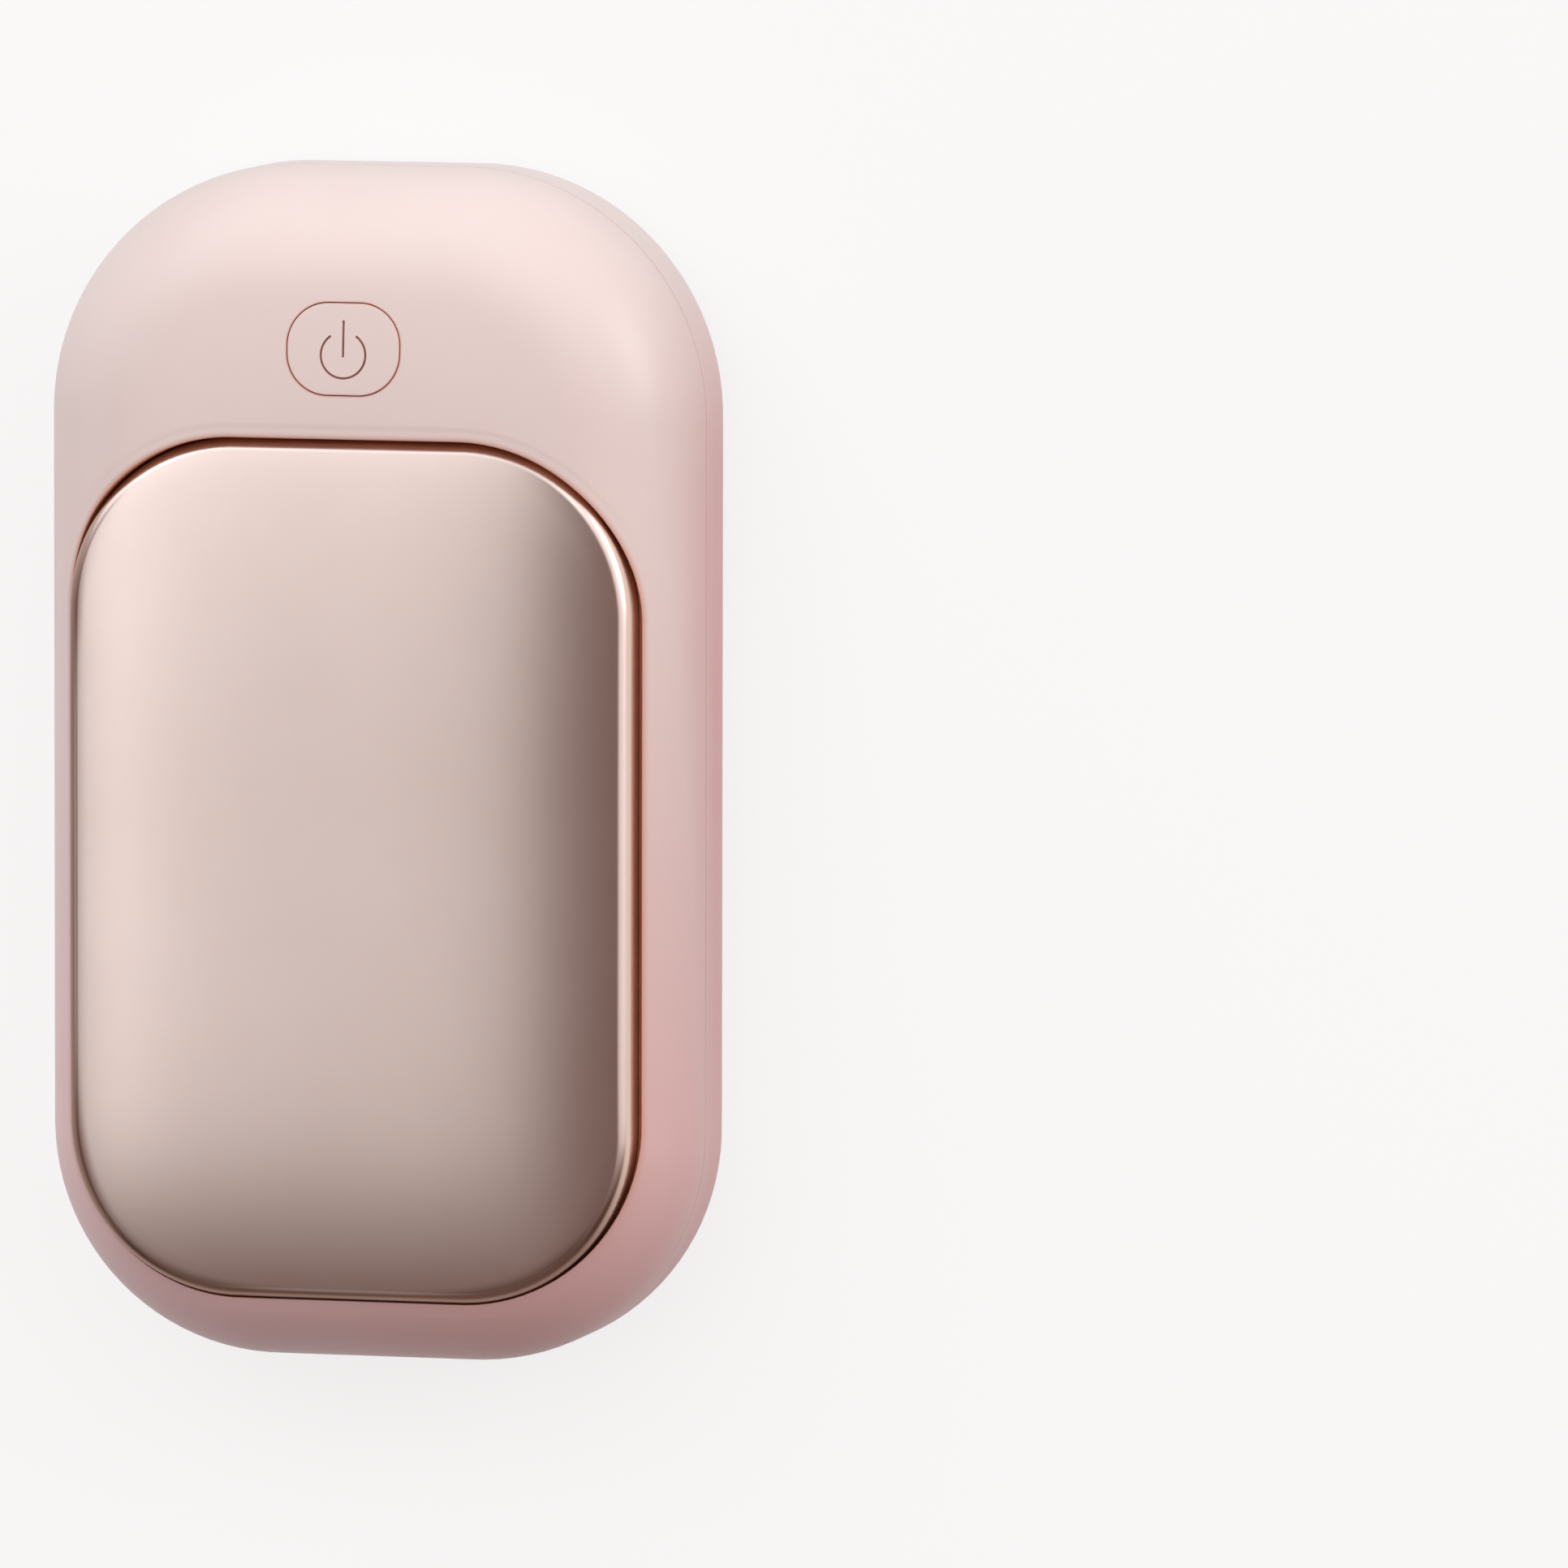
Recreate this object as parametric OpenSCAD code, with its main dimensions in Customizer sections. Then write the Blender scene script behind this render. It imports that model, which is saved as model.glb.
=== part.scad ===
// Rechargeable hand warmer, one half of a magnetic pair, lying on its flat back.
// +Z points out of the heating panel, +Y points to the button end, and the back is at Z = 0.

/* [Housing] */
// Width of the housing
body_w = 50; // [49:0.5:58]
// Length of the housing
body_l = 89; // [88:0.5:100]
// Thickness from the flat back to the crown
body_t = 17; // [16.6:0.1:19]
// Radius of the corners, seen from the front
corner_r = 17; // [16:0.25:19]
// Radius of the round between the crown and the side wall
shoulder_r = 10; // [9.4:0.1:10.6]
// Radius of the long curve across the crown
crown_r = 60; // [50:1:90]
// Radius of the round along the edge of the back
back_edge_r = 2; // [1:0.1:2.4]
// Wall thickness of both shells
wall = 1.6; // [1.4:0.05:1.7]

/* [Heating panel] */
// Space between the panel and each long side of the housing
panel_side = 3.4; // [3.2:0.1:5]
// Space between the panel and the lower end of the housing
panel_low = 5.2; // [4.6:0.1:7]
// Space between the panel and the button end of the housing
panel_high = 19.8; // [19.4:0.1:24]
// Radius of the panel's corners
panel_corner_r = 13; // [11:0.25:14]
// Radius of the panel's pillow curve
panel_crown_r = 60; // [50:1:100]
// Radius of the round along the panel's edge
panel_edge_r = 1.15; // [1.1:0.05:1.5]
// Thickness of the panel's sheet
panel_t = 1; // [0.7:0.05:1.05]
// Height of the panel's middle above the crown of the housing
panel_proud = 0.4; // [0.1:0.05:0.8]
// Gap between the panel and the shell
panel_gap = 0.38; // [0.2:0.02:0.5]
// Width of the shallow step round the panel's opening
bezel_w = 1.2; // [0.6:0.1:1.4]

/* [Power button] */
// Width of the button's cap
button_w = 8.6; // [8:0.1:9.4]
// Length of the button's cap
button_l = 6.8; // [6.4:0.1:7.2]
// Radius of the cap's corners
button_corner_r = 3.1; // [2.2:0.1:3.15]
// Distance from the button end of the housing to the button's centre
button_end = 13; // [12.6:0.1:14]
// Travel of the button
button_travel = 0.3; // [0.2:0.05:0.35]
// Gap round the button's cap
button_gap = 0.15; // [0.1:0.01:0.25]

/* [Charging socket] */
// Width of the socket's shell
socket_w = 8.94; // [8.6:0.02:9.2]
// Height of the socket's shell
socket_h = 3.26; // [3:0.02:3.4]
// Depth of the socket's shell
socket_d = 7.35; // [6.8:0.05:7.8]
// Height of the socket's middle above the back
socket_z = 4.3; // [4.2:0.05:4.5]

/* [Battery] */
// Width of the cell
cell_w = 34; // [30:0.5:34.5]
// Thickness of the cell
cell_t = 8; // [6:0.1:8.2]
// Diameter of each magnet
magnet_d = 10; // [8:0.5:12]
// Thickness of each magnet
magnet_t = 2; // [1.6:0.1:2.1]

/* [Hidden] */

// Colours
shell_pink = [0.93, 0.82, 0.80];
rose_gold = [0.84, 0.71, 0.67];
board_green = [0.08, 0.30, 0.20];
chip_black = [0.08, 0.08, 0.09];
steel = [0.72, 0.73, 0.75];
solder_grey = [0.62, 0.63, 0.65];

// How far each cutting shape runs past what it cuts
overrun = 0.6;
// Gap between pieces that lie face to face
seat_gap = 0.02;
// Smoothness of the exact rounds
$fn = 96;

// Step joint and snaps between the two shells
tongue_t = 0.7;
tongue_h = 1.2;
tongue_fit = 0.1;
snap_w = 5;
snap_h = 0.5;
snap_reach = 0.4;
snap_fit = 0.15;
snap_place_shares = [-0.24, 0, 0.24];

// Panel opening in the front shell
bezel_depth = 0.25;
collar_t = 1.2;
ledge_w = 2;
ledge_t = 1.2;
skirt_h = 1.9;
tape_t = 0.2;

// Heating foil and what lies under it
film_t = 0.3;
film_side = 3;
film_end = 5;
film_corner_r = 9;
foam_side = 1;
foam_corner_r = 3;
sensor_d = 1.5;
sensor_l = 3;

// Button, its flange and the guide inside the front shell
cap_proud = 0.1;
cap_t = 1.5;
cap_wall = 0.9;
flange_w = 0.8;
flange_t = 0.7;
flange_fit = 0.08;
guide_gap = 0.2;
guide_t = 0.8;
light_fit = 0.04;
foot_r = 1.2;
foot_reach = 0.6;

// Press switch and its board
switch_board_w = 28;
switch_board_l = 9.5;
switch_board_corner_r = 1.5;
board_t = 1;
switch_w = 4.5;
switch_h = 1.5;
switch_wall = 0.7;
switch_floor = 0.4;
switch_cover_t = 0.15;
switch_skirt_h = 0.9;
plunger_r = 1.1;
plunger_rise = 1.25;
plunger_flange_r = 1.5;
plunger_flange_t = 0.3;
plunger_fit = 0.05;
dome_r = 1.45;
dome_t = 0.08;
dome_rise_h = 0.12;
terminal_w = 0.7;
terminal_t = 0.15;
terminal_reach = 0.8;
lamp_w = 1.6;
lamp_l = 0.8;
lamp_h = 0.6;
lamp_spread = 3.4;

// Screws and their bosses
screw_r = 0.85;
screw_head_r = 1.6;
screw_head_t = 1;
screw_l = 4;
screw_slot_r = 0.5;
screw_fit = 0.05;
boss_r = 2.1;
boss_floor = 0.8;
switch_screw_x = 10;
main_screw_share = 0.687;
main_screw_y = 3.6;

// Cell, its cradle and its protection board
cell_corner_r = 2.5;
cell_edge_r = 1.4;
cell_clear = 1.3;
cell_gap = 0.4;
cell_tape_t = 0.4;
cell_tape_side = 2;
cradle_gap = 0.3;
cradle_t = 0.8;
cradle_h = 5.4;
cradle_share = 0.8;
terrace_l = 4;
terrace_t = 0.6;
terrace_side = 1;
guard_board_l = 3.4;
guard_board_t = 0.8;
guard_board_side = 2;
guard_chip_w = 3;
guard_chip_l = 1.6;
guard_chip_h = 0.9;
guard_chip_share = 0.34;
tab_w = 4;
tab_t = 0.15;
tab_share = 0.6;

// Magnets and their rings in the back cover
magnet_pocket = 0.6;
magnet_fit = 0.05;
magnet_ring_t = 0.8;
magnet_x_share = 0.42;
magnet_y_share = 0.18;

// Charging socket
socket_wall = 0.25;
socket_recess = 0.5;
socket_gap = 0.2;
socket_sink = 0.8;
tongue_plate_w = 6.69;
tongue_plate_t = 0.7;
tongue_plate_recess = 0.7;
tongue_block_d = 2.6;
contact_count = 12;
contact_pitch = 0.5;
contact_w = 0.26;
contact_t = 0.05;
contact_l = 3.2;

// Main board and its parts
board_gap = 0.4;
main_board_l = 13.5;
charge_chip_w = 4;
charge_chip_h = 0.9;
control_chip_w = 4.9;
control_chip_l = 3.9;
control_chip_h = 1.5;
coil_w = 5.2;
coil_h = 3;
coil_corner_r = 0.6;
coil_rim_r = 2.2;
coil_rim_depth = 0.3;
large_cap = [3.2, 1.6, 1.4];
small_cap = [1.6, 0.8, 0.8];
resistor = [1.6, 0.8, 0.45];
charge_chip_shares = [-0.30, 0.69];
control_chip_shares = [0.39, 0.81];
coil_shares = [-0.48, 0.32];
large_cap_shares = [[-0.53, 0.67], [0.42, 0.21]];
small_cap_shares = [[-0.055, 0.69], [0.065, 0.69], [0.62, 0.31]];
resistor_shares = [[-0.24, 0.92], [-0.365, 0.92], [0.557, 0.72], [0.183, 0.54]];

// Solder joints and wires
solder_rim = 0.1;
solder_h = 0.4;
wire_gap = 0.08;
wire_stub = 0.5;
power_wire_r = 0.6;
sensor_wire_r = 0.3;
lane_wire_r = 0.3;
lane_pitch = 0.8;
lane_pad_pitch = 1.05;
lane_edge = 2.4;
lane_turn = 0.7;
lane_count = 4;
battery_pad_x = 2.2;
battery_pad_y = 1.4;
heater_pad_shares = [0.435, 0.548];
sensor_pad_shares = [0.262, 0.326];
wire_pad_y = 7.2;
film_pad_y = 8.6;
wire_sides = 8;
curve_steps = 5;

// Shared places
function dome_tilt(corner, edge, crown) = asin((corner - edge) / (crown - edge));
function dome_rise(corner, edge, crown) =
    edge * cos(dome_tilt(corner, edge, crown)) + crown * (1 - cos(dome_tilt(corner, edge, crown)));

parting_z = body_t - dome_rise(corner_r, shoulder_r, crown_r);
low_end = -body_l / 2;
button_y = body_l / 2 - button_end;

panel_w = body_w - 2 * panel_side;
panel_l = body_l - panel_low - panel_high;
panel_y = (panel_low - panel_high) / 2;
panel_top = body_t + panel_proud;
panel_base = panel_top - dome_rise(panel_corner_r, panel_edge_r, panel_crown_r);
skirt_z = panel_base - skirt_h;
ledge_z = skirt_z - tape_t;

film_inset = panel_t + seat_gap;
film_under = film_inset + film_t;
film_w = panel_w - 2 * film_side;
film_l = panel_l - 2 * film_end;

// Depth of the pillow curve below its middle, on the surface that lies inset under the panel's face
function pillow_drop(x, y, inset) =
    let (
        reach_x = max(0, abs(x) - (panel_w / 2 - panel_corner_r)),
        reach_y = max(0, abs(y - panel_y) - (panel_l / 2 - panel_corner_r)),
        radius = panel_crown_r - inset
    )
    radius - sqrt(radius * radius - reach_x * reach_x - reach_y * reach_y);
function film_underside(x, y) = panel_top - film_under - pillow_drop(x, y, film_under);

board_low_y = low_end + wall + board_gap;
board_high_y = board_low_y + main_board_l;
board_reach_x = body_w / 2 - wall - board_gap;
board_z = socket_z + socket_h / 2 - socket_sink;
board_top = board_z + board_t;
function on_board(shares) = [shares[0] * board_reach_x, board_low_y + shares[1] * main_board_l];
main_screw_x = main_screw_share * board_reach_x;
heater_pads_x = heater_pad_shares * board_reach_x;
sensor_pads_x = sensor_pad_shares * board_reach_x;

ring_top = wall - magnet_pocket + magnet_t;
cell_z = ring_top + cell_tape_t;
cell_top = cell_z + cell_t;
terrace_y = board_high_y + seat_gap;
cell_low_y = board_high_y + terrace_l + cell_gap;
cell_high_y = button_y - switch_board_l / 2 - cell_clear;
cell_l = cell_high_y - cell_low_y;
cell_y = (cell_high_y + cell_low_y) / 2;
terrace_z = cell_z + cell_t / 2;
terrace_top = terrace_z + terrace_t;
guard_board_z = terrace_top + tab_t + 2 * seat_gap;
guard_board_top = guard_board_z + guard_board_t;
guard_board_y = cell_low_y - cell_edge_r / 2 - guard_board_l / 2;

// Fall of the housing's crown below its middle, towards the button end
function crown_fall(y) = crown_r - sqrt(pow(crown_r, 2) - pow(max(0, y - body_l / 2 + corner_r), 2));

flange_z = body_t - crown_fall(button_y + button_l / 2 + flange_w) - wall - flange_fit - flange_t;
foot_z = flange_z - foot_reach;
plunger_top = foot_z - seat_gap;
switch_top = plunger_top - plunger_rise;
switch_board_top = switch_top - switch_cover_t - switch_h;

cap_under = body_t - cap_t;

foam_low_y = cell_low_y + cell_edge_r;
foam_high_y = min(panel_y + film_l / 2, cell_high_y - cell_edge_r);

socket_front = low_end + socket_recess;
socket_back = socket_front + socket_d;

wire_row_y = board_low_y + wire_pad_y;
film_row_y = panel_y - film_l / 2 + film_pad_y - film_end;
lane_pad_x = board_reach_x - lane_edge;
lane_pad_y = board_high_y - battery_pad_y;
lane_x = (cell_w / 2 + cradle_gap + cradle_t + body_w / 2 - wall) / 2;
lane_wires = [for (lane = [0 : lane_count - 1]) lane];
switch_pad_x = switch_board_w / 2 - 2 * lane_pad_pitch;

sensor_x = (sensor_pads_x[0] + sensor_pads_x[1]) / 2;
sensor_y = film_row_y + sensor_l / 2;
sensor_z = film_underside(sensor_x, sensor_y - sensor_l / 2) - sensor_d / 2 - 2 * seat_gap;
sensor_leg_x = sensor_wire_r + seat_gap + sensor_wire_r / 4;

// Outlines
module quarter(radius, turn) {
    rotate(turn) intersection() {
        circle(r = radius);
        square(radius + overrun);
    }
}

module rounded_outline(width, length, corner) {
    side_x = width / 2 - corner;
    side_y = length / 2 - corner;
    if (side_y > 0) square([width, 2 * side_y], center = true);
    if (side_x > 0) square([2 * side_x, length], center = true);
    for (turn = [0 : 3])
        translate([(turn == 0 || turn == 3) ? side_x : -side_x, turn < 2 ? side_y : -side_y])
            quarter(corner, 90 * turn);
}

module prism(low, high) {
    translate([0, 0, low]) linear_extrude(height = high - low) children();
}

// Outline of the housing, set in from its side wall
module body_outline(inset) {
    rounded_outline(body_w - 2 * inset, body_l - 2 * inset, corner_r - inset);
}

// Outline of the panel, grown outwards
module panel_outline(grow) {
    translate([0, panel_y])
        rounded_outline(panel_w + 2 * grow, panel_l + 2 * grow, panel_corner_r + grow);
}

// Outline of the button's cap, grown outwards
module button_outline(grow) {
    translate([0, button_y])
        rounded_outline(button_w + 2 * grow, button_l + 2 * grow, button_corner_r + grow);
}

// Turns a half section round the corners of a rounded rectangle, runs it along the sides and fills the core
module sweep_round(width, length, corner, low, high) {
    side_x = width / 2 - corner;
    side_y = length / 2 - corner;
    for (turn = [0 : 3])
        translate([(turn == 0 || turn == 3) ? side_x : -side_x, turn < 2 ? side_y : -side_y, 0])
            rotate([0, 0, 90 * turn]) rotate_extrude(angle = 90) children();
    for (side = [0, 1]) {
        translate([side == 0 ? side_x : -side_x, 0, 0]) rotate([90, 0, 180 * side])
            linear_extrude(height = 2 * side_y, center = true) children();
        translate([0, side == 0 ? side_y : -side_y, 0]) rotate([90, 0, 90 + 180 * side])
            linear_extrude(height = 2 * side_x, center = true) children();
    }
    translate([-side_x, -side_y, low]) cube([2 * side_x, 2 * side_y, high - low]);
}

// Half section of a domed form: a crown arc from the corner's axis, then a round that meets it smoothly
module dome_section(corner, edge, crown, top, low, inset) {
    tilt = dome_tilt(corner, edge, crown);
    base = top - dome_rise(corner, edge, crown);
    hub = [corner - edge, base];
    past = crown + overrun;
    meeting = [past * sin(tilt), top - crown + past * cos(tilt)];
    if (low < base) translate([0, low]) square([corner - min(inset, edge), base - low]);
    intersection() {
        translate([0, top - crown]) circle(r = crown - inset, $fn = 720);
        polygon([[0, base], hub, meeting, [0, top + overrun]]);
    }
    if (inset < edge) intersection() {
        translate(hub) circle(r = edge - inset);
        polygon([hub, [corner + overrun, base], [corner + overrun, top + overrun], meeting]);
    }
}

module domed_form(width, length, corner, edge, crown, top, low, inset) {
    sweep_round(width, length, corner, low, top - inset)
        dome_section(corner, edge, crown, top, low, inset);
}

// The housing's domed front, set in from its skin
module body_form(inset) {
    domed_form(body_w, body_l, corner_r, shoulder_r, crown_r, body_t, parting_z, inset);
}

// The panel's pillow, set in from its face and carried down to a given height
module panel_form(inset, low) {
    translate([0, panel_y, 0])
        domed_form(panel_w, panel_l, panel_corner_r, panel_edge_r, panel_crown_r, panel_top, low, inset);
}

// Half section of a slab with rounded lower and upper edges
module slab_section(reach, low, high, low_edge, high_edge) {
    translate([0, low + low_edge]) square([reach, high - low - low_edge - high_edge]);
    if (low_edge > 0) {
        translate([0, low]) square([reach - low_edge, low_edge]);
        translate([reach - low_edge, low + low_edge]) quarter(low_edge, -90);
    }
    if (high_edge > 0) {
        translate([0, high - high_edge]) square([reach - high_edge, high_edge]);
        translate([reach - high_edge, high - high_edge]) quarter(high_edge, 0);
    }
}

// A block that stands on a place of the main board
module board_block(shares, size) {
    translate([on_board(shares)[0] - size[0] / 2, on_board(shares)[1] - size[1] / 2, board_top + seat_gap])
        cube(size);
}

// Curves for wires: each leg leaves and arrives along the line between the points beside it
function unit(v) = v / norm(v);
function aim(route, i) = unit(route[min(i + 1, len(route) - 1)] - route[max(i - 1, 0)]);
function leg_point(from, to, leave, arrive, t) =
    (2 * pow(t, 3) - 3 * pow(t, 2) + 1) * from + (3 * pow(t, 2) - 2 * pow(t, 3)) * to
    + norm(to - from) * ((pow(t, 3) - 2 * pow(t, 2) + t) * leave + (pow(t, 3) - pow(t, 2)) * arrive);
function smooth(route) = [
    for (i = [0 : len(route) - 2], step = [0 : curve_steps - 1])
        leg_point(route[i], route[i + 1], aim(route, i), aim(route, i + 1), step / curve_steps),
    route[len(route) - 1]
];
function heading(route, path, i) =
    i == 0 ? aim(route, 0)
    : i == len(path) - 1 ? aim(route, len(route) - 1)
    : unit(path[i + 1] - path[i - 1]);
function carried(side, along) = unit(side - (side * along) * along);

// A round wire along a route: one ring a point, each turned on from the ring before it
module wire(route, radius, side) {
    path = smooth(route);
    along = [for (i = [0 : len(path) - 1]) heading(route, path, i)];
    sides_at = [
        for (i = 0, n = carried(side, along[0]); i < len(path);
            i = i + 1, n = i < len(path) ? carried(n, along[i]) : n) n
    ];
    rings = [
        for (i = [0 : len(path) - 1], k = [0 : wire_sides - 1])
            let (turn = 360 * k / wire_sides)
            path[i] + radius * (cos(turn) * sides_at[i] + sin(turn) * cross(along[i], sides_at[i]))
    ];
    last = (len(path) - 1) * wire_sides;
    skin = [
        for (i = [0 : len(path) - 2], k = [0 : wire_sides - 1])
            let (
                a = i * wire_sides + k,
                b = i * wire_sides + (k + 1) % wire_sides
            )
            each [[a, a + wire_sides, b + wire_sides], [a, b + wire_sides, b]]
    ];
    near_cap = [for (k = [1 : wire_sides - 2]) [0, k, k + 1]];
    far_cap = [for (k = [1 : wire_sides - 2]) [last, last + k + 1, last + k]];
    polyhedron(points = rings, faces = concat(skin, near_cap, far_cap));
}

// A cone of solder that stands on a pad, or hangs from one
module solder_cone(place, wire_r, hangs = false) {
    translate(place) rotate([hangs ? 180 : 0, 0, 0])
        cylinder(r1 = wire_r + solder_rim, r2 = wire_r + solder_rim / 2, h = solder_h);
}

// The two ends of a wire: straight off the tip of a cone that stands on a pad, or hangs from one
function above(place) = place + [0, 0, solder_h + wire_gap];
function below(place) = place - [0, 0, solder_h + wire_gap];
function stub_up(place) = above(place) + [0, 0, wire_stub];
function stub_down(place) = below(place) - [0, 0, wire_stub];

// Places of the solder joints
heater_board_pads = [for (x = heater_pads_x) [x, wire_row_y, board_top + seat_gap]];
sensor_board_pads = [for (x = sensor_pads_x) [x, wire_row_y, board_top + seat_gap]];
battery_board_pads = [
    for (sx = [-1, 1]) [sx * battery_pad_x, board_high_y - battery_pad_y, board_top + seat_gap]
];
guard_pads = [for (sx = [-1, 1]) [sx * battery_pad_x, guard_board_y, guard_board_top + seat_gap]];
lane_board_pads = [
    for (lane = lane_wires) [lane_pad_x, lane_pad_y - lane * lane_pad_pitch, board_top + seat_gap]
];
lane_switch_pads = [
    for (lane = lane_wires)
        [
            switch_pad_x,
            button_y + (2 * lane - lane_count + 1) * lane_pad_pitch,
            switch_board_top - board_t - seat_gap
        ]
];
heater_film_pads = [
    for (x = heater_pads_x) [x, film_row_y, film_underside(x, film_row_y) - wire_gap]
];

// Housing
module front_shell() {
    color(shell_pink) difference() {
        body_form(0);
        difference() {
            union() {
                body_form(wall);
                prism(parting_z - overrun, parting_z + tongue_h + tongue_fit)
                    body_outline(wall - tongue_t - tongue_fit);
            }
            prism(ledge_z - ledge_t, body_t) difference() {
                panel_outline(panel_gap + collar_t);
                panel_outline(-ledge_w);
            }
            prism(flange_z - button_travel - guide_t, body_t) difference() {
                button_outline(flange_w + guide_gap + guide_t);
                button_outline(flange_w + guide_gap);
            }
            for (sx = [-1, 1])
                translate([sx * switch_screw_x, button_y, switch_board_top + seat_gap])
                    cylinder(r = boss_r, h = body_t - switch_board_top);
            snap_lugs(0);
        }
        prism(ledge_z, body_t + overrun) panel_outline(panel_gap);
        prism(ledge_z - ledge_t - overrun, ledge_z + overrun) panel_outline(-ledge_w);
        difference() {
            prism(parting_z, body_t + overrun) panel_outline(panel_gap + bezel_w);
            body_form(bezel_depth);
        }
        prism(switch_board_top, body_t + overrun) button_outline(button_gap);
        for (sx = [-1, 1])
            translate([sx * switch_screw_x, button_y, switch_board_top - overrun])
                cylinder(r = screw_r + screw_fit, h = screw_l + overrun);
    }
}

// Lugs of the front shell that snap into windows of the back cover's tongue
module snap_lugs(fit) {
    reach_x = body_w / 2 - wall + tongue_t - snap_reach;
    middle_z = parting_z + tongue_h / 2;
    for (share = snap_place_shares, sx = [-1, 1])
        translate([sx > 0 ? reach_x - fit : -reach_x - wall, share * body_l - snap_w / 2 - fit,
            middle_z - snap_h / 2 - fit])
            cube([wall + fit, snap_w + 2 * fit, snap_h + 2 * fit]);
}

module back_cover() {
    color(shell_pink) difference() {
        union() {
            sweep_round(body_w, body_l, corner_r, 0, parting_z)
                slab_section(corner_r, 0, parting_z, back_edge_r, 0);
            prism(wall, parting_z + tongue_h) body_outline(wall - tongue_t);
        }
        difference() {
            prism(wall, parting_z + tongue_h + overrun) body_outline(wall);
            magnet_places() cylinder(r = magnet_d / 2 + magnet_fit + magnet_ring_t, h = ring_top);
            for (sx = [-1, 1])
                translate([sx * (cell_w / 2 + cradle_gap + cradle_t / 2), cell_y, cradle_h / 2])
                    cube([cradle_t, cell_l * cradle_share, cradle_h], center = true);
            translate([0, cell_high_y + cradle_gap + cradle_t / 2, cradle_h / 2])
                cube([cell_w * cradle_share, cradle_t, cradle_h], center = true);
            for (sy = [-1, 0, 1])
                translate([0, cell_y + sy * cell_l / 2 * cradle_share, ring_top / 2])
                    cube([cell_w, cradle_t, ring_top], center = true);
            main_screw_places() cylinder(r = boss_r, h = board_z);
            for (sx = [-1, 1])
                translate([sx * (socket_w / 2 + boss_r), board_low_y + boss_r, board_z / 2])
                    cube([cradle_t, boss_r, board_z], center = true);
        }
        magnet_places() translate([0, 0, wall - magnet_pocket])
            cylinder(r = magnet_d / 2 + magnet_fit, h = magnet_t + overrun);
        main_screw_places() translate([0, 0, boss_floor])
            cylinder(r = screw_r + screw_fit, h = board_z);
        translate([0, low_end + wall / 2, socket_z]) rotate([90, 0, 0])
            linear_extrude(height = wall + 2 * overrun, center = true)
                rounded_outline(socket_w + 2 * socket_gap, socket_h + 2 * socket_gap,
                    socket_h / 2 + socket_gap);
        snap_lugs(snap_fit);
    }
}

module magnet_places() {
    for (sx = [-1, 1], sy = [-1, 1])
        translate([sx * magnet_x_share * body_w / 2, cell_y + sy * magnet_y_share * body_l, 0]) children();
}

module main_screw_places() {
    for (sx = [-1, 1]) translate([sx * main_screw_x, board_high_y - main_screw_y, 0]) children();
}

module magnets() {
    color(steel) magnet_places() translate([0, 0, wall - magnet_pocket])
        cylinder(r = magnet_d / 2, h = magnet_t);
}

// Heating panel and what is bonded under it
module heating_panel() {
    color(rose_gold) difference() {
        panel_form(0, skirt_z);
        panel_form(panel_t, skirt_z - overrun);
    }
}

module panel_tape() {
    color(chip_black) prism(ledge_z, skirt_z) difference() {
        panel_outline(0);
        panel_outline(-panel_t);
    }
}

module film_outline(shrink) {
    translate([0, panel_y])
        rounded_outline(film_w - 2 * shrink, film_l - 2 * shrink, film_corner_r);
}

module heater_film() {
    color([0.72, 0.42, 0.12]) intersection() {
        difference() {
            panel_form(film_inset, panel_base);
            panel_form(film_under, panel_base - overrun);
        }
        prism(panel_base, panel_top) film_outline(0);
    }
}

module heater_leads() {
    color([0.75, 0.06, 0.05]) for (i = [0, 1])
        wire([
            below(heater_film_pads[i]),
            stub_down(heater_film_pads[i]),
            [heater_pads_x[i], wire_row_y, (panel_base + board_top) / 2],
            stub_up(heater_board_pads[i]),
            above(heater_board_pads[i])
        ], power_wire_r, [1, 0, 0]);
}

module thermistor() {
    color([0.15, 0.12, 0.10]) translate([sensor_x, sensor_y + sensor_l / 2, sensor_z])
        rotate([90, 0, 0]) cylinder(r = sensor_d / 2, h = sensor_l);
}

module thermistor_leads() {
    color([0.85, 0.85, 0.82]) for (i = [0, 1])
        let (
            side = 2 * i - 1,
            start = [sensor_x + side * sensor_leg_x, sensor_y - sensor_l / 2 - wire_gap, sensor_z]
        )
        wire([
            start,
            start - [0, wire_stub, 0],
            [sensor_pads_x[i], wire_row_y, sensor_z - 2 * sensor_d],
            [sensor_pads_x[i], wire_row_y, (panel_base + board_top) / 2],
            stub_up(sensor_board_pads[i]),
            above(sensor_board_pads[i])
        ], sensor_wire_r, [1, 0, 0]);
}

module insulation_foam() {
    color([0.93, 0.92, 0.88]) intersection() {
        panel_form(film_under + seat_gap, cell_top + seat_gap);
        prism(cell_top + seat_gap, panel_top) translate([0, (foam_low_y + foam_high_y) / 2])
            rounded_outline(cell_w - 2 * foam_side, foam_high_y - foam_low_y, foam_corner_r);
    }
}

// Cell
module battery_cell() {
    color([0.78, 0.80, 0.82]) union() {
        translate([0, cell_y, 0]) sweep_round(cell_w, cell_l, cell_corner_r, cell_z, cell_top)
            slab_section(cell_corner_r, cell_z, cell_top, cell_edge_r, cell_edge_r);
        translate([-cell_w / 2 + terrace_side, terrace_y, terrace_z])
            cube([cell_w - 2 * terrace_side, cell_low_y + cell_corner_r - terrace_y, terrace_t]);
    }
}

module battery_tape() {
    color([0.95, 0.95, 0.93]) prism(ring_top + seat_gap, cell_z - seat_gap) translate([0, cell_y])
        square([cell_w - 2 * cell_tape_side - 2 * cell_edge_r, cell_l - 2 * cell_edge_r], center = true);
}

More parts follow.
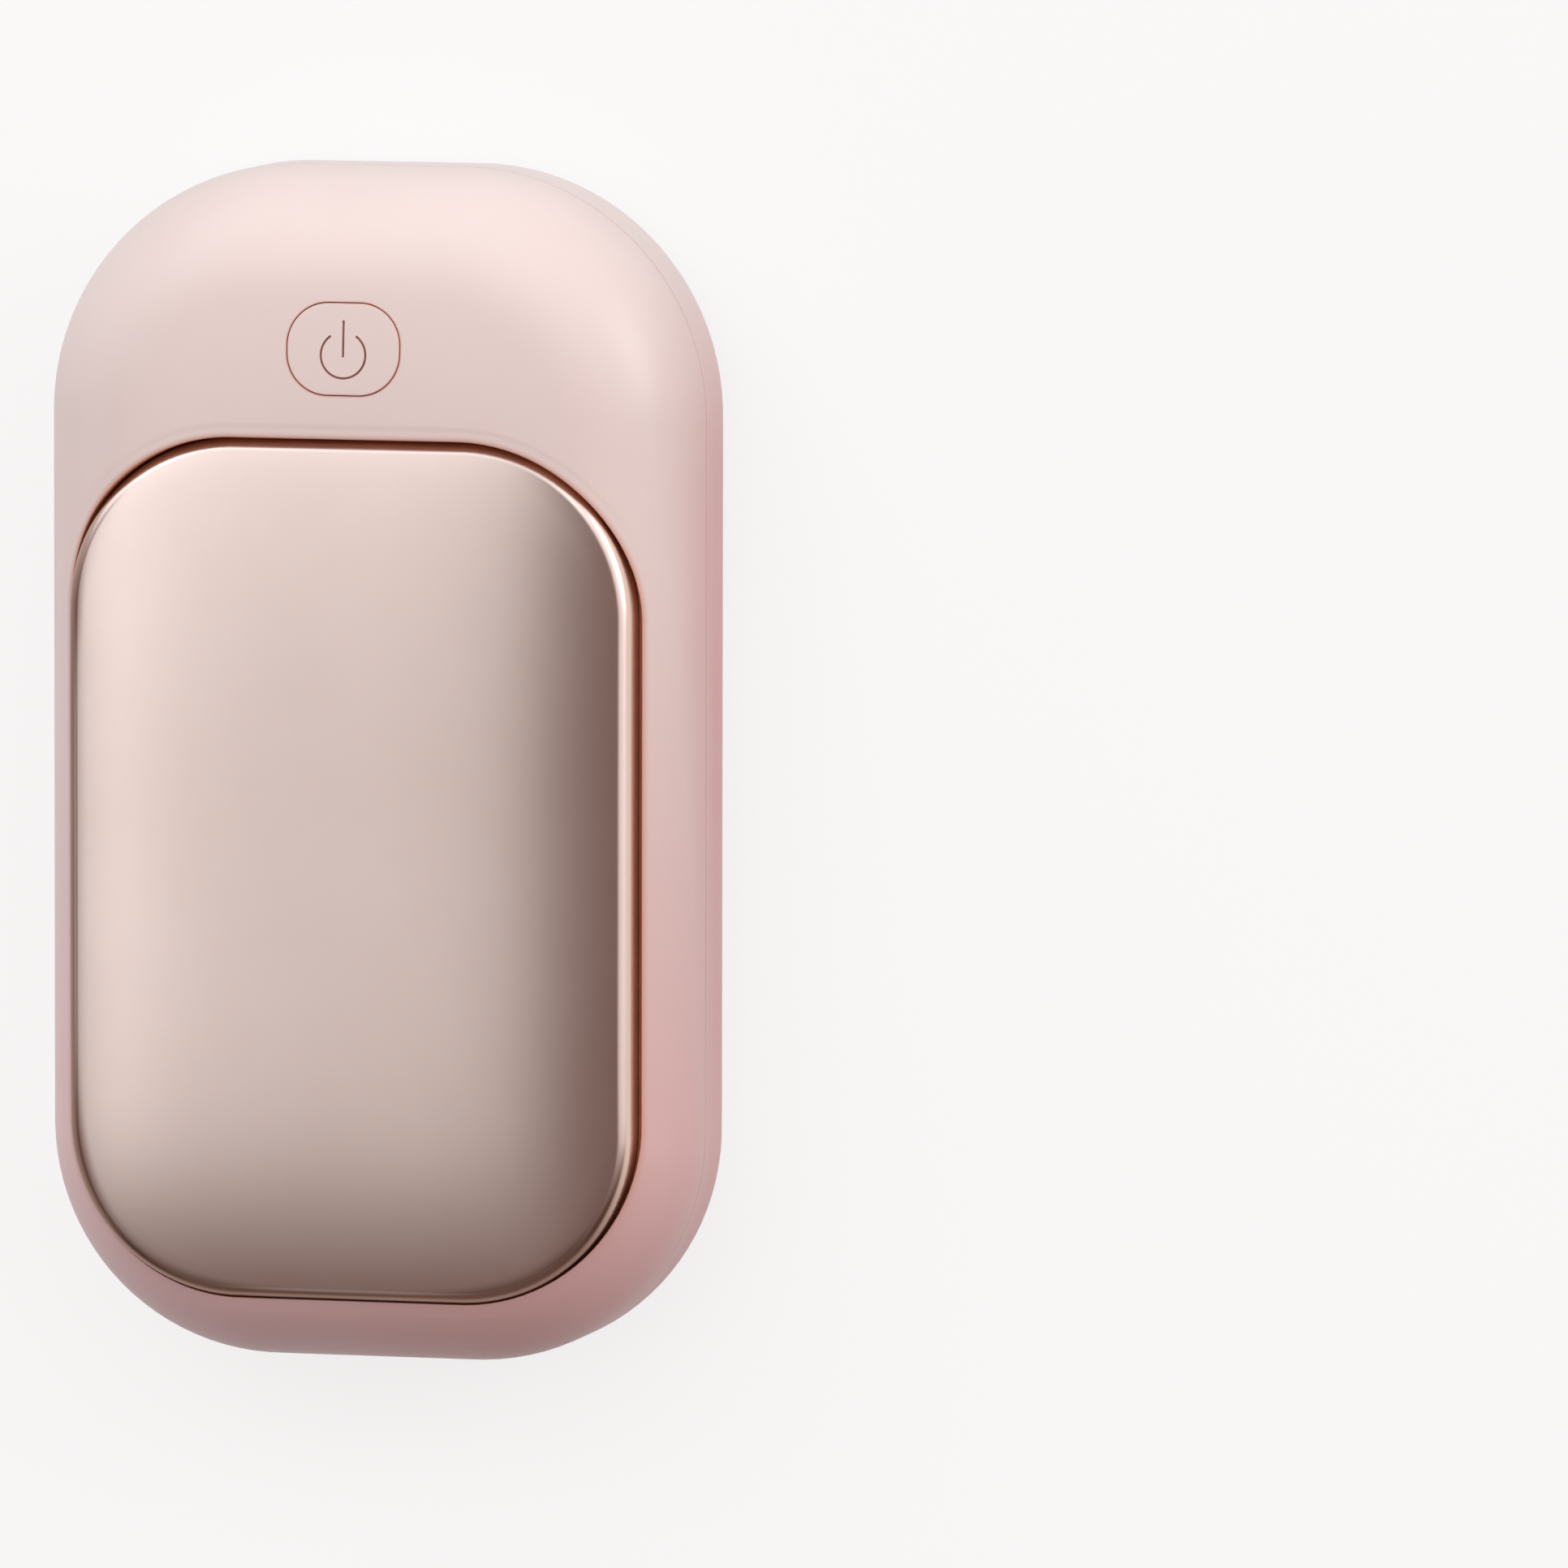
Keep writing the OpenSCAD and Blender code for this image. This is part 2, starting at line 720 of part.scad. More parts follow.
module battery_board() {
    color(board_green)
        translate([-cell_w / 2 + guard_board_side, guard_board_y - guard_board_l / 2, guard_board_z])
            cube([cell_w - 2 * guard_board_side, guard_board_l, guard_board_t]);
}

module protection_chips() {
    color(chip_black) for (sx = [-1, 1])
        translate([sx * guard_chip_share * cell_w / 2 - guard_chip_w / 2, guard_board_y - guard_chip_l / 2,
            guard_board_top + seat_gap])
            cube([guard_chip_w, guard_chip_l, guard_chip_h]);
}

// Nickel strips that fold round the outer edge of the protection board
module battery_tabs() {
    outer_y = guard_board_y - guard_board_l / 2 - seat_gap;
    inner_y = guard_board_y;
    lower_z = terrace_top + seat_gap;
    upper_z = guard_board_top + seat_gap;
    color(steel) for (sx = [-1, 1])
        translate([sx * tab_share * cell_w / 2 - tab_w / 2, 0, 0]) {
            translate([0, outer_y, lower_z]) cube([tab_w, cell_low_y - outer_y - cell_edge_r, tab_t]);
            translate([0, outer_y - tab_t, lower_z]) cube([tab_w, tab_t, upper_z + tab_t - lower_z]);
            translate([0, outer_y, upper_z]) cube([tab_w, inner_y - outer_y, tab_t]);
        }
}

module battery_leads() {
    color([0.70, 0.05, 0.05]) for (i = [0, 1])
        let (pad = battery_board_pads[i], start = guard_pads[i])
        wire([
            above(start),
            stub_up(start),
            stub_up(start) + [0, (pad[1] - start[1]) / 2, 2 * power_wire_r],
            [pad[0], pad[1], stub_up(start)[2]],
            stub_up(pad),
            above(pad)
        ], power_wire_r, [1, 0, 0]);
}

// Main board
module main_board() {
    color(board_green) difference() {
        prism(board_z, board_top) intersection() {
            body_outline(wall + board_gap);
            translate([-body_w / 2, board_low_y - overrun]) square([body_w, main_board_l + overrun]);
        }
        translate([-socket_w / 2 - socket_gap, board_low_y - overrun, board_z - overrun])
            cube([
                socket_w + 2 * socket_gap,
                socket_back + socket_gap - board_low_y + overrun,
                board_t + 2 * overrun
            ]);
        main_screw_places() translate([0, 0, board_z - overrun])
            cylinder(r = screw_r + screw_fit, h = board_t + 2 * overrun);
    }
}

module socket_prism(shrink, front, back) {
    translate([0, back, socket_z]) rotate([90, 0, 0]) linear_extrude(height = back - front)
        rounded_outline(socket_w - 2 * shrink, socket_h - 2 * shrink, socket_h / 2 - shrink);
}

module socket_shell() {
    color(steel) difference() {
        socket_prism(0, socket_front, socket_back);
        socket_prism(socket_wall, socket_front - overrun, socket_back + overrun);
    }
}

module socket_tongue() {
    color(chip_black) union() {
        socket_prism(socket_wall + seat_gap, socket_back - tongue_block_d, socket_back);
        translate([-tongue_plate_w / 2, socket_front + tongue_plate_recess, socket_z - tongue_plate_t / 2])
            cube([tongue_plate_w, socket_d - tongue_plate_recess - tongue_block_d / 2, tongue_plate_t]);
    }
}

module socket_contacts() {
    color([0.85, 0.66, 0.25]) for (i = [0 : contact_count - 1], side = [0, 1])
        translate([(i - (contact_count - 1) / 2) * contact_pitch - contact_w / 2,
            socket_front + 2 * tongue_plate_recess,
            socket_z + (side == 0 ? tongue_plate_t / 2 : -tongue_plate_t / 2 - contact_t)])
            cube([contact_w, contact_l, contact_t]);
}

module charge_chip() {
    color(chip_black)
        board_block(charge_chip_shares, [charge_chip_w, charge_chip_w, charge_chip_h]);
}

module control_chip() {
    color(chip_black)
        board_block(control_chip_shares, [control_chip_w, control_chip_l, control_chip_h]);
}

module inductor() {
    place = on_board(coil_shares);
    color([0.30, 0.30, 0.31]) difference() {
        prism(board_top + seat_gap, board_top + seat_gap + coil_h) translate(place)
            rounded_outline(coil_w, coil_w, coil_corner_r);
        translate([place[0], place[1], board_top + seat_gap + coil_h - coil_rim_depth])
            cylinder(r = coil_rim_r, h = coil_rim_depth + overrun);
    }
}

module capacitors() {
    color([0.74, 0.62, 0.46]) {
        for (shares = large_cap_shares) board_block(shares, large_cap);
        for (shares = small_cap_shares) board_block(shares, small_cap);
    }
}

module resistors() {
    color(chip_black) for (shares = resistor_shares) board_block(shares, resistor);
}

module solder_joints() {
    color(solder_grey) {
        for (place = concat(heater_board_pads, battery_board_pads, guard_pads))
            solder_cone(place, power_wire_r);
        for (place = sensor_board_pads) solder_cone(place, sensor_wire_r);
        for (place = lane_board_pads) solder_cone(place, lane_wire_r);
        for (place = lane_switch_pads) solder_cone(place, lane_wire_r, true);
        for (place = heater_film_pads) solder_cone(place, power_wire_r, true);
    }
}

// Four wires, one above the other, that run between the cell's cradle and the side wall
module board_lead() {
    color([0.55, 0.57, 0.60]) for (lane = lane_wires)
        let (
            pad = lane_board_pads[lane],
            target = lane_switch_pads[lane],
            high_z = stub_up(pad)[2] + lane * lane_pitch,
            low_z = parting_z - (lane_count - 1 - lane) * lane_pitch
        )
        wire([
            above(pad),
            [pad[0], pad[1], high_z - lane_turn / 2],
            [pad[0], pad[1] + lane_turn, high_z],
            [pad[0], board_high_y, high_z],
            [lane_x, cell_low_y, low_z],
            [lane_x, cell_y, low_z],
            [lane_x, target[1] - 5 * lane_pad_pitch, low_z],
            [(lane_x + target[0]) / 2, target[1] - lane_pad_pitch / 2, (low_z + stub_down(target)[2]) / 2],
            [target[0] + lane_pad_pitch, target[1], stub_down(target)[2] - lane_turn / 2],
            stub_down(target),
            below(target)
        ], lane_wire_r, [1, 0, 0]);
}

// Switch board and press switch
module switch_board() {
    color(board_green) translate([0, button_y, 0]) difference() {
        prism(switch_board_top - board_t, switch_board_top)
            rounded_outline(switch_board_w, switch_board_l, switch_board_corner_r);
        for (sx = [-1, 1])
            translate([sx * switch_screw_x, 0, switch_board_top - board_t - overrun])
                cylinder(r = screw_r + screw_fit, h = board_t + 2 * overrun);
    }
}

module switch_base() {
    color(chip_black) translate([0, button_y, switch_board_top + seat_gap]) difference() {
        translate([-switch_w / 2, -switch_w / 2, 0]) cube([switch_w, switch_w, switch_h - seat_gap]);
        translate([0, 0, switch_floor]) cylinder(r = switch_w / 2 - switch_wall, h = switch_h);
    }
}

// Sheet-metal cover, with a hole for the plunger and a skirt down the sides of the base
module switch_cover() {
    outer = switch_w + 2 * (seat_gap + switch_cover_t);
    inner = switch_w + 2 * seat_gap;
    color(steel) translate([0, button_y, 0]) difference() {
        prism(switch_top - switch_cover_t - switch_skirt_h, switch_top + seat_gap)
            square(outer, center = true);
        prism(switch_board_top, switch_top - switch_cover_t + seat_gap) square(inner, center = true);
        prism(switch_board_top, switch_top + overrun) circle(r = plunger_r + plunger_fit);
    }
}

module switch_terminals() {
    color(solder_grey) for (sx = [-1, 1], sy = [-1, 1])
        translate([sx * (switch_w / 2 + switch_cover_t + 2 * seat_gap + terminal_reach / 2),
            button_y + sy * switch_w / 3, switch_board_top + seat_gap + terminal_t / 2])
            cube([terminal_reach, terminal_w, terminal_t], center = true);
}

// Spring dome, drawn flat as it lies when pressed
module switch_dome() {
    floor_z = switch_board_top + 2 * seat_gap + switch_floor;
    color(steel) translate([0, button_y, floor_z]) rotate_extrude() union() {
        square([dome_r, dome_t]);
        square([dome_r / 2, dome_rise_h]);
    }
}

module switch_plunger() {
    flange_top = switch_top - switch_cover_t - seat_gap;
    color([0.92, 0.92, 0.90]) translate([0, button_y, 0]) union() {
        translate([0, 0, flange_top - plunger_flange_t])
            cylinder(r = plunger_flange_r, h = plunger_flange_t);
        translate([0, 0, flange_top - plunger_flange_t])
            cylinder(r = plunger_r, h = plunger_top - flange_top + plunger_flange_t);
    }
}

module indicator_leds() {
    color([0.95, 0.95, 0.88]) for (sx = [-1, 1], sy = [-1, 1])
        translate([sx * (lamp_spread + lamp_w / 2) - lamp_w / 2, button_y + sy * lamp_spread - lamp_l / 2,
            switch_board_top + seat_gap])
            cube([lamp_w, lamp_l, lamp_h]);
}

// Button cap: its top follows the crown, its flange lies under the shell and its hollow holds the light guide
module power_button() {
    color(shell_pink) difference() {
        union() {
            intersection() {
                prism(flange_z, body_t + cap_t) button_outline(0);
                body_form(-cap_proud);
            }
            intersection() {
                prism(flange_z, body_t) button_outline(flange_w);
                body_form(wall + flange_fit);
            }
        }
        prism(flange_z - overrun, cap_under) button_outline(-cap_wall);
    }
}

module light_guide() {
    color([0.96, 0.97, 0.98]) union() {
        prism(flange_z, cap_under - seat_gap) button_outline(-cap_wall - light_fit);
        translate([0, button_y, foot_z]) cylinder(r = foot_r, h = foot_reach + flange_t);
    }
}

// Self-tapping screw with its head at the origin's upper side
module screw() {
    difference() {
        union() {
            cylinder(r = screw_head_r, h = screw_head_t);
            translate([0, 0, -screw_l + screw_fit]) cylinder(r = screw_r, h = screw_l);
        }
        translate([0, 0, screw_head_t / 2]) cylinder(r = screw_slot_r, h = screw_head_t);
    }
}

module board_screws() {
    color(steel) {
        main_screw_places() translate([0, 0, board_top + seat_gap]) screw();
        for (sx = [-1, 1])
            translate([sx * switch_screw_x, button_y, switch_board_top - board_t - seat_gap])
                rotate([180, 0, 0]) screw();
    }
}

front_shell();
back_cover();
heating_panel();
panel_tape();
heater_film();
heater_leads();
thermistor();
thermistor_leads();
insulation_foam();
battery_cell();
battery_tape();
battery_board();
protection_chips();
battery_tabs();
battery_leads();
main_board();
socket_shell();
socket_tongue();
socket_contacts();
charge_chip();
control_chip();
inductor();
capacitors();
resistors();
solder_joints();
board_lead();
switch_board();
switch_base();
switch_cover();
switch_terminals();
switch_dome();
switch_plunger();
light_guide();
indicator_leds();
power_button();
board_screws();
magnets();
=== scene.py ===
# %% [markdown]
# # A rechargeable hand warmer
#
# The warmer's construction comes in as a fixed frame: 37 pieces at their real size and place, from the
# two halves of the housing to the spring dome of the switch. What it lacks is looks. The pieces that the
# eye meets are modelled again here with the soft edges of moulded and drawn parts, and every piece gets a
# finish. Everything is in metres, and the place of a piece is always in its mesh.

# %% Load the frame
import math

import bmesh
import bpy
from mathutils import Matrix, Vector


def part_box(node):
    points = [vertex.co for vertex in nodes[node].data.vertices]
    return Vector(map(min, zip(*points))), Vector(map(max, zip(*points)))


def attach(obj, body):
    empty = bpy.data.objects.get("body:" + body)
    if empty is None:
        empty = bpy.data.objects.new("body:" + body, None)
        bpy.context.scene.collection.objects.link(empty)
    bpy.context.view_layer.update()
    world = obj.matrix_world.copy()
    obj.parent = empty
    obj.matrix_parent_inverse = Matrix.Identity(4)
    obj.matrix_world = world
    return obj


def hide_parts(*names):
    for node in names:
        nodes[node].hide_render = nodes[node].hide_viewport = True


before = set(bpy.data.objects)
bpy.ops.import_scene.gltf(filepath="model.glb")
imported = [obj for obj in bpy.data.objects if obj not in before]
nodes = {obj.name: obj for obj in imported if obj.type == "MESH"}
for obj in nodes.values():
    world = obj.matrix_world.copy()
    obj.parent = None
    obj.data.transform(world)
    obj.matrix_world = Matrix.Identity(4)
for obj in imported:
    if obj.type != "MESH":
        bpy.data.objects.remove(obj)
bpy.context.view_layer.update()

# %% [markdown]
# ## The sizes that everything follows
#
# The outer sizes are read from the frame, so that nothing here can drift away from it. The radii can't
# be read from a box, so they are written once, each under its own name. The opening fits the panel closer
# at its two ends than along its sides, as in the picture.

# %% Sizes
MM = 0.001
shell_low, shell_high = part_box("front_shell")
cover_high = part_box("back_cover")[1]
panel_low, panel_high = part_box("heating_panel")
button_low, button_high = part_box("power_button")

BODY_HALF_W = cover_high.x
BODY_HALF_L = cover_high.y
BODY_TOP = shell_high.z
PARTING_Z = shell_low.z
HEAD_R = 18.5 * MM
FOOT_R = 17.3 * MM
SHOULDER_R = 10 * MM
BACK_EDGE_R = 2 * MM
WALL = 1.6 * MM

PANEL_CORNER_R = 13 * MM
PANEL_CROWN_R = 60 * MM
PANEL_EDGE_R = 1.15 * MM
PANEL_SHEET = 0.9 * MM
PANEL_GAP = 0.38 * MM
END_FIT = 0.26 * MM
PANEL_Y = (panel_low.y + panel_high.y) / 2
PANEL_CORE = (panel_high.x - PANEL_CORNER_R, (panel_high.y - panel_low.y) / 2 - PANEL_CORNER_R)
OPENING_CORE = (PANEL_CORE[0], PANEL_CORE[1] - END_FIT)
HAIR = 0.01 * MM

print("housing", round(BODY_HALF_W / MM * 2, 2), "by", round(BODY_HALF_L / MM * 2, 2), "mm, parting line at",
      round(PARTING_Z / MM, 2), "mm")

# %% [markdown]
# ## The camera
#
# The warmer was photographed from almost straight in front with a long lens, a little from its right and
# a little from its top. It lies on its back here, so the camera hangs above it. A camera can be aimed
# with its shift, but then it keeps the shift in every other view. Turning it so that the warmer falls
# left of the middle gives the same picture and leaves the other views centred.

# %% Camera
PHOTO_SIDE = 1932
PHOTO_SCALE = 16.56 / MM
WARMER_PIXEL = (463.5, 941.0)
CAMERA_RIGHT = math.radians(16.0)
CAMERA_UP = math.radians(5.4)
CAMERA_FAR = 1.4
SENSOR = 36
NEAREST = 0.05
FARTHEST = 20
MIDDLE_Z = 8 * MM
warmer_middle = Vector((0, 0, MIDDLE_Z))


def aim_matrix(backward, upward):
    """A turn whose Z axis points backward, with its Y axis as near upward as it can be."""
    z_axis = backward.normalized()
    x_axis = upward.cross(z_axis).normalized()
    y_axis = z_axis.cross(x_axis)
    return Matrix((x_axis, y_axis, z_axis)).transposed()


def direction(right, up):
    """The way to a place seen from the warmer: right of straight above it, and up towards its button."""
    return Vector((math.sin(right) * math.cos(up), math.sin(up), math.cos(right) * math.cos(up)))


to_camera = direction(CAMERA_RIGHT, CAMERA_UP)
facing = aim_matrix(to_camera, Vector((0, 1, 0)))
across = (PHOTO_SIDE / 2 - WARMER_PIXEL[0]) / PHOTO_SCALE
down = (PHOTO_SIDE / 2 - WARMER_PIXEL[1]) / PHOTO_SCALE
picture_middle = warmer_middle + facing @ Vector((across, -down, 0))
camera_place = warmer_middle + to_camera * CAMERA_FAR

camera_data = bpy.data.cameras.new("camera")
camera_data.sensor_width = SENSOR
camera_data.lens = SENSOR * CAMERA_FAR / (PHOTO_SIDE / PHOTO_SCALE)
camera_data.clip_start = NEAREST
camera_data.clip_end = FARTHEST
camera = bpy.data.objects.new("camera", camera_data)
bpy.context.scene.collection.objects.link(camera)
camera.location = camera_place
camera.rotation_euler = aim_matrix(camera_place - picture_middle, facing @ Vector((0, 1, 0))).to_euler()
bpy.context.scene.camera = camera
print("camera lens", round(camera_data.lens), "mm")

# %% [markdown]
# ## One ring, extruded again and again
#
# Nearly every form on the warmer is a rounded rectangle that grows, shrinks, rises or sinks: the
# housing, its opening, the panel, the button, even the socket's stadium. A boolean of solids could make
# them, but leaves ragged faces that shade badly. So a form starts as one ring of vertices. Each vertex
# remembers how far along its side it stands (its share) and which way is out. The ring is extruded, and
# the new ring is placed by four values: the half sizes of its core, its middle, its radius and its height.
# The core and the radius may differ between the two ends, because the housing is rounder at its head.
# Bmesh copies what a vertex remembers when it extrudes it, so no list of vertices has to be kept.

# %% Ring helpers
CORNER_STEPS = 24
ACROSS_CUTS = 9
ALONG_CUTS = 25
WELD = 0.0005 * MM
SHARP = math.radians(35)
upright = Matrix.Rotation(math.pi / 2, 4, "X")


def first_ring(bm, corner_steps=CORNER_STEPS, across_cuts=ACROSS_CUTS, along_cuts=ALONG_CUTS):
    """A circle, pulled apart into a rounded square whose long edges are divided."""
    share = bm.verts.layers.float_vector.new("share")
    outward = bm.verts.layers.float_vector.new("outward")
    half_step = Matrix.Rotation(math.pi / (4 * corner_steps), 4, "Z")
    bmesh.ops.create_circle(bm, segments=4 * corner_steps, radius=1, matrix=half_step)
    for vert in bm.verts:
        vert.co += Vector((math.copysign(1, vert.co.x), math.copysign(1, vert.co.y), 0))
    for axis, cuts in ((0, across_cuts), (1, along_cuts)):
        sides = [edge for edge in bm.edges if abs(edge.verts[0].co[axis] - edge.verts[1].co[axis]) > 1]
        if cuts:
            bmesh.ops.subdivide_edges(bm, edges=sides, cuts=cuts)
    for vert in bm.verts:
        corner = Vector([max(-1, min(1, value)) for value in vert.co])
        vert[share] = corner
        vert[outward] = (vert.co - corner).normalized()
    return list(bm.verts)


def at_end(value, head):
    """A value that differs between the two ends is a pair: the head's, then the foot's."""
    return value[0 if head else 1] if isinstance(value, list) else value


def place_ring(bm, ring, core, middle_y, radius, height):
    """Puts a ring on a rounded rectangle. Its height is a number, or is worked out at each vertex."""
    share = bm.verts.layers.float_vector["share"]
    outward = bm.verts.layers.float_vector["outward"]
    for vert in ring:
        out = vert[outward]
        head = vert[share].y > 0
        half_w, half_l = at_end(core, head)
        x = vert[share].x * half_w + out.x * at_end(radius, head)
        y = vert[share].y * half_l + out.y * at_end(radius, head) + middle_y
        vert.co = (x, y, height(x, y, out) if callable(height) else height)


def start_form(place, ring_steps=()):
    """A new form with its first ring in place."""
    bm = bmesh.new()
    ring = first_ring(bm, *ring_steps)
    place_ring(bm, ring, *place)
    return bm, ring


def rings_about(core, middle_y):
    """Gives a rule for the rings about one core, each shrunk by a share towards the middle."""
    def ring_place(radius, height, share=1.0):
        return (core[0] * share, core[1] * share), middle_y, radius * share, height

    return ring_place


def ring_edges(ring):
    members = set(ring)
    return list({edge for vert in ring for edge in vert.link_edges if edge.other_vert(vert) in members})


def extrude_ring(bm, ring, places):
    """Extrudes a ring through a list of places and gives back the last ring."""
    for place in places:
        made = bmesh.ops.extrude_edge_only(bm, edges=ring_edges(ring))
        ring = [item for item in made["geom"] if isinstance(item, bmesh.types.BMVert)]
        place_ring(bm, ring, *place)
    return ring


def close_ring(bm, ring):
    bmesh.ops.contextual_create(bm, geom=ring_edges(ring))


def mix(start, end, share):
    return start + (end - start) * share


def quarter_round(radius, steps, start=0.0, end=math.pi / 2):
    """Points of a round: how far each lies from the round's middle, outwards and upwards."""
    angles = [mix(start, end, step / steps) for step in range(steps + 1)]
    return [(radius * math.cos(angle), radius * math.sin(angle)) for angle in angles]


def as_piece(bm, name):
    """Makes an object of a form that is ready."""
    mesh = bpy.data.meshes.new(name)
    bm.to_mesh(mesh)
    bm.free()
    piece = bpy.data.objects.new(name, mesh)
    bpy.context.scene.collection.objects.link(piece)
    return piece


def smooth(mesh):
    mesh.shade_smooth()
    mesh.set_sharp_from_angle(angle=SHARP)


def finished(bm, name, body, replaced):
    """Closes the books on a piece: doubles merged, normals outwards, smooth, and riding on its body."""
    bmesh.ops.remove_doubles(bm, verts=bm.verts, dist=WELD)
    bmesh.ops.recalc_face_normals(bm, faces=bm.faces)
    piece = as_piece(bm, name)
    smooth(piece.data)
    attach(piece, body)
    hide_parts(*replaced)
    print(name, len(piece.data.vertices), "vertices,", len(piece.data.polygons), "faces")
    return piece


# %% [markdown]
# ## Cutting with a flared tool
#
# A hole in a moulded part has a small round at its mouth. Bevelling the rim of a boolean cut is fragile,
# so the cutter itself has the round: it flares out where it meets the surface. The flare stops a little
# before it lies flat on the surface, because two faces that nearly coincide cut badly. The boolean
# modifier takes the cutter away, and is applied at once, so that the piece stays a plain mesh. A cut face
# keeps the number of its cutter's finish, so the two finishes of the pink parts are put on before.

# %% Cut helper
FLARE_TURN = math.radians(72)
satin_pink = bpy.data.materials.new("satin_pink")
gap_shade_pink = bpy.data.materials.new("gap_shade_pink")


def cut(piece, cutter_bm):
    """Takes a closed form away from a piece and leaves the piece a plain mesh."""
    if not piece.data.materials:
        piece.data.materials.append(satin_pink)
        piece.data.materials.append(gap_shade_pink)
    bmesh.ops.recalc_face_normals(cutter_bm, faces=cutter_bm.faces)
    cutter = as_piece(cutter_bm, "cutter")
    for material in piece.data.materials:
        cutter.data.materials.append(material)
    modifier = piece.modifiers.new("cut", "BOOLEAN")
    modifier.operation = "DIFFERENCE"
    modifier.solver = "EXACT"
    modifier.material_mode = "INDEX"
    modifier.object = cutter
    bpy.context.view_layer.update()
    evaluated = piece.evaluated_get(bpy.context.evaluated_depsgraph_get())
    mesh = bpy.data.meshes.new_from_object(evaluated)
    piece.modifiers.clear()
    old_meshes = (piece.data, cutter.data)
    piece.data = mesh
    mesh.name = piece.name
    bpy.data.objects.remove(cutter)
    for old_mesh in old_meshes:
        bpy.data.meshes.remove(old_mesh)
    smooth(mesh)
    print(piece.name, "after the cut:", len(mesh.polygons), "faces")


def flared_cutter(ring_steps, place, radius, lip, lip_steps, foot, level, top):
    """A closed form from foot to top. Near its top it flares by a lip, at the level of the surface."""
    bm, ring = start_form(place(radius, foot), ring_steps)
    close_ring(bm, ring)
    places = []
    for out, up in quarter_round(lip, lip_steps, 0, FLARE_TURN):
        places.append(place(radius + lip - out, level(lip - up)))
    places.append(place(radius + lip - out, top))
    close_ring(bm, extrude_ring(bm, ring, places))
    return bm


# %% [markdown]
# ## The skin of the housing
#
# The front of the housing is a dome: a long curve across the crown, and a tighter round that rolls over
# the shoulder into the side wall. Both depend only on how far a point lies beyond the flat core, so one
# function gives the height of the skin, or of the inner face when it is set in by the wall. The crown's
# radius isn't free: the crown has to start at the top and leave into the shoulder without a kink, and
# with the drop and the run between them known, that gives one radius for each end.

# %% Height of the skin
BODY_RADII = [HEAD_R, FOOT_R]
BODY_CORES = [(BODY_HALF_W - radius, BODY_HALF_L - radius) for radius in BODY_RADII]
crown_drop = BODY_TOP - PARTING_Z - SHOULDER_R


def crown_radius(run):
    """The circle that falls by the drop over the run and meets the shoulder's circle smoothly."""
    return SHOULDER_R + (run ** 2 + crown_drop ** 2) / (2 * crown_drop)


CROWN_RADII = [crown_radius(radius - SHOULDER_R) for radius in BODY_RADII]


def skin_height(x, y, inset=0.0):
    head = y > 0
    core_w, core_l = at_end(BODY_CORES, head)
    run = at_end(BODY_RADII, head) - SHOULDER_R
    crown = at_end(CROWN_RADII, head)
    reach = math.hypot(max(0, abs(x) - core_w), max(0, abs(y) - core_l))
    if reach < (crown - inset) * run / (crown - SHOULDER_R):
        return BODY_TOP - crown + math.sqrt((crown - inset) ** 2 - reach ** 2)
    return PARTING_Z + math.sqrt(max(0, (SHOULDER_R - inset) ** 2 - (reach - run) ** 2))


def on_skin(depth=0.0):
    """A height rule: on the skin, or a little below it."""
    return lambda x, y, out: skin_height(x, y) - depth


print("crown radii", [round(radius / MM, 1) for radius in CROWN_RADII], "mm")

# %% [markdown]
# ## Front shell
#
# The pink front is one moulding. Its form could be a swept profile, but the opening for the panel isn't
# concentric with the outline. So the ring starts at the ledge that carries the panel, climbs the wall of
# the opening, turns over a small lip, crosses the shallow step that frames the panel, and then changes
# bit by bit from the opening's outline to the housing's while it lies on the skin. Rings are closest
# where the skin falls away fastest, over the shoulder. Inside, the way back to the ledge is coarser. The
# ledge and the wall of the opening are marked, because they get the painted shade of the gap.

# %% Front shell
LEDGE_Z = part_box("panel_tape")[0].z
LEDGE_W = 2 * MM
LEDGE_T = 1.2 * MM
COLLAR_T = 1.2 * MM
STEP_W = 1.2 * MM
STEP_DEPTH = 0.04 * MM
STEP_RAMP = 0.6 * MM
LIP_R = 0.12 * MM
SEAM_R = 0.07 * MM
TONGUE_T = 0.7 * MM
TONGUE_H = 1.2 * MM
TONGUE_FIT = 0.1 * MM
LIP_STEPS = 4
RAMP_RINGS = 6
SKIN_RINGS = 30
INNER_RINGS = 10
COLLAR_RINGS = 8
opening_r = PANEL_CORNER_R + PANEL_GAP
step_r = opening_r + STEP_W


def body_radii(inset=0.0):
    return [radius - inset for radius in BODY_RADII]


def between_outlines(share, height, inner=0.0, start_r=step_r):
    """A ring that lies a share of the way from the opening's outline to the housing's."""
    cores = [tuple(mix(start, end, share) for start, end in zip(OPENING_CORE, core)) for core in BODY_CORES]
    radii = [mix(start_r, radius, share) for radius in body_radii(inner)]
    return cores, mix(PANEL_Y, 0, share), radii, height


def on_inner_skin(x, y, out):
    """The inner face, which starts above the groove that takes the back cover's tongue."""
    return max(skin_height(x, y, WALL), PARTING_Z + TONGUE_H + TONGUE_FIT)


def under_ledge(x, y, out):
    return min(on_inner_skin(x, y, out), LEDGE_Z - LEDGE_T)


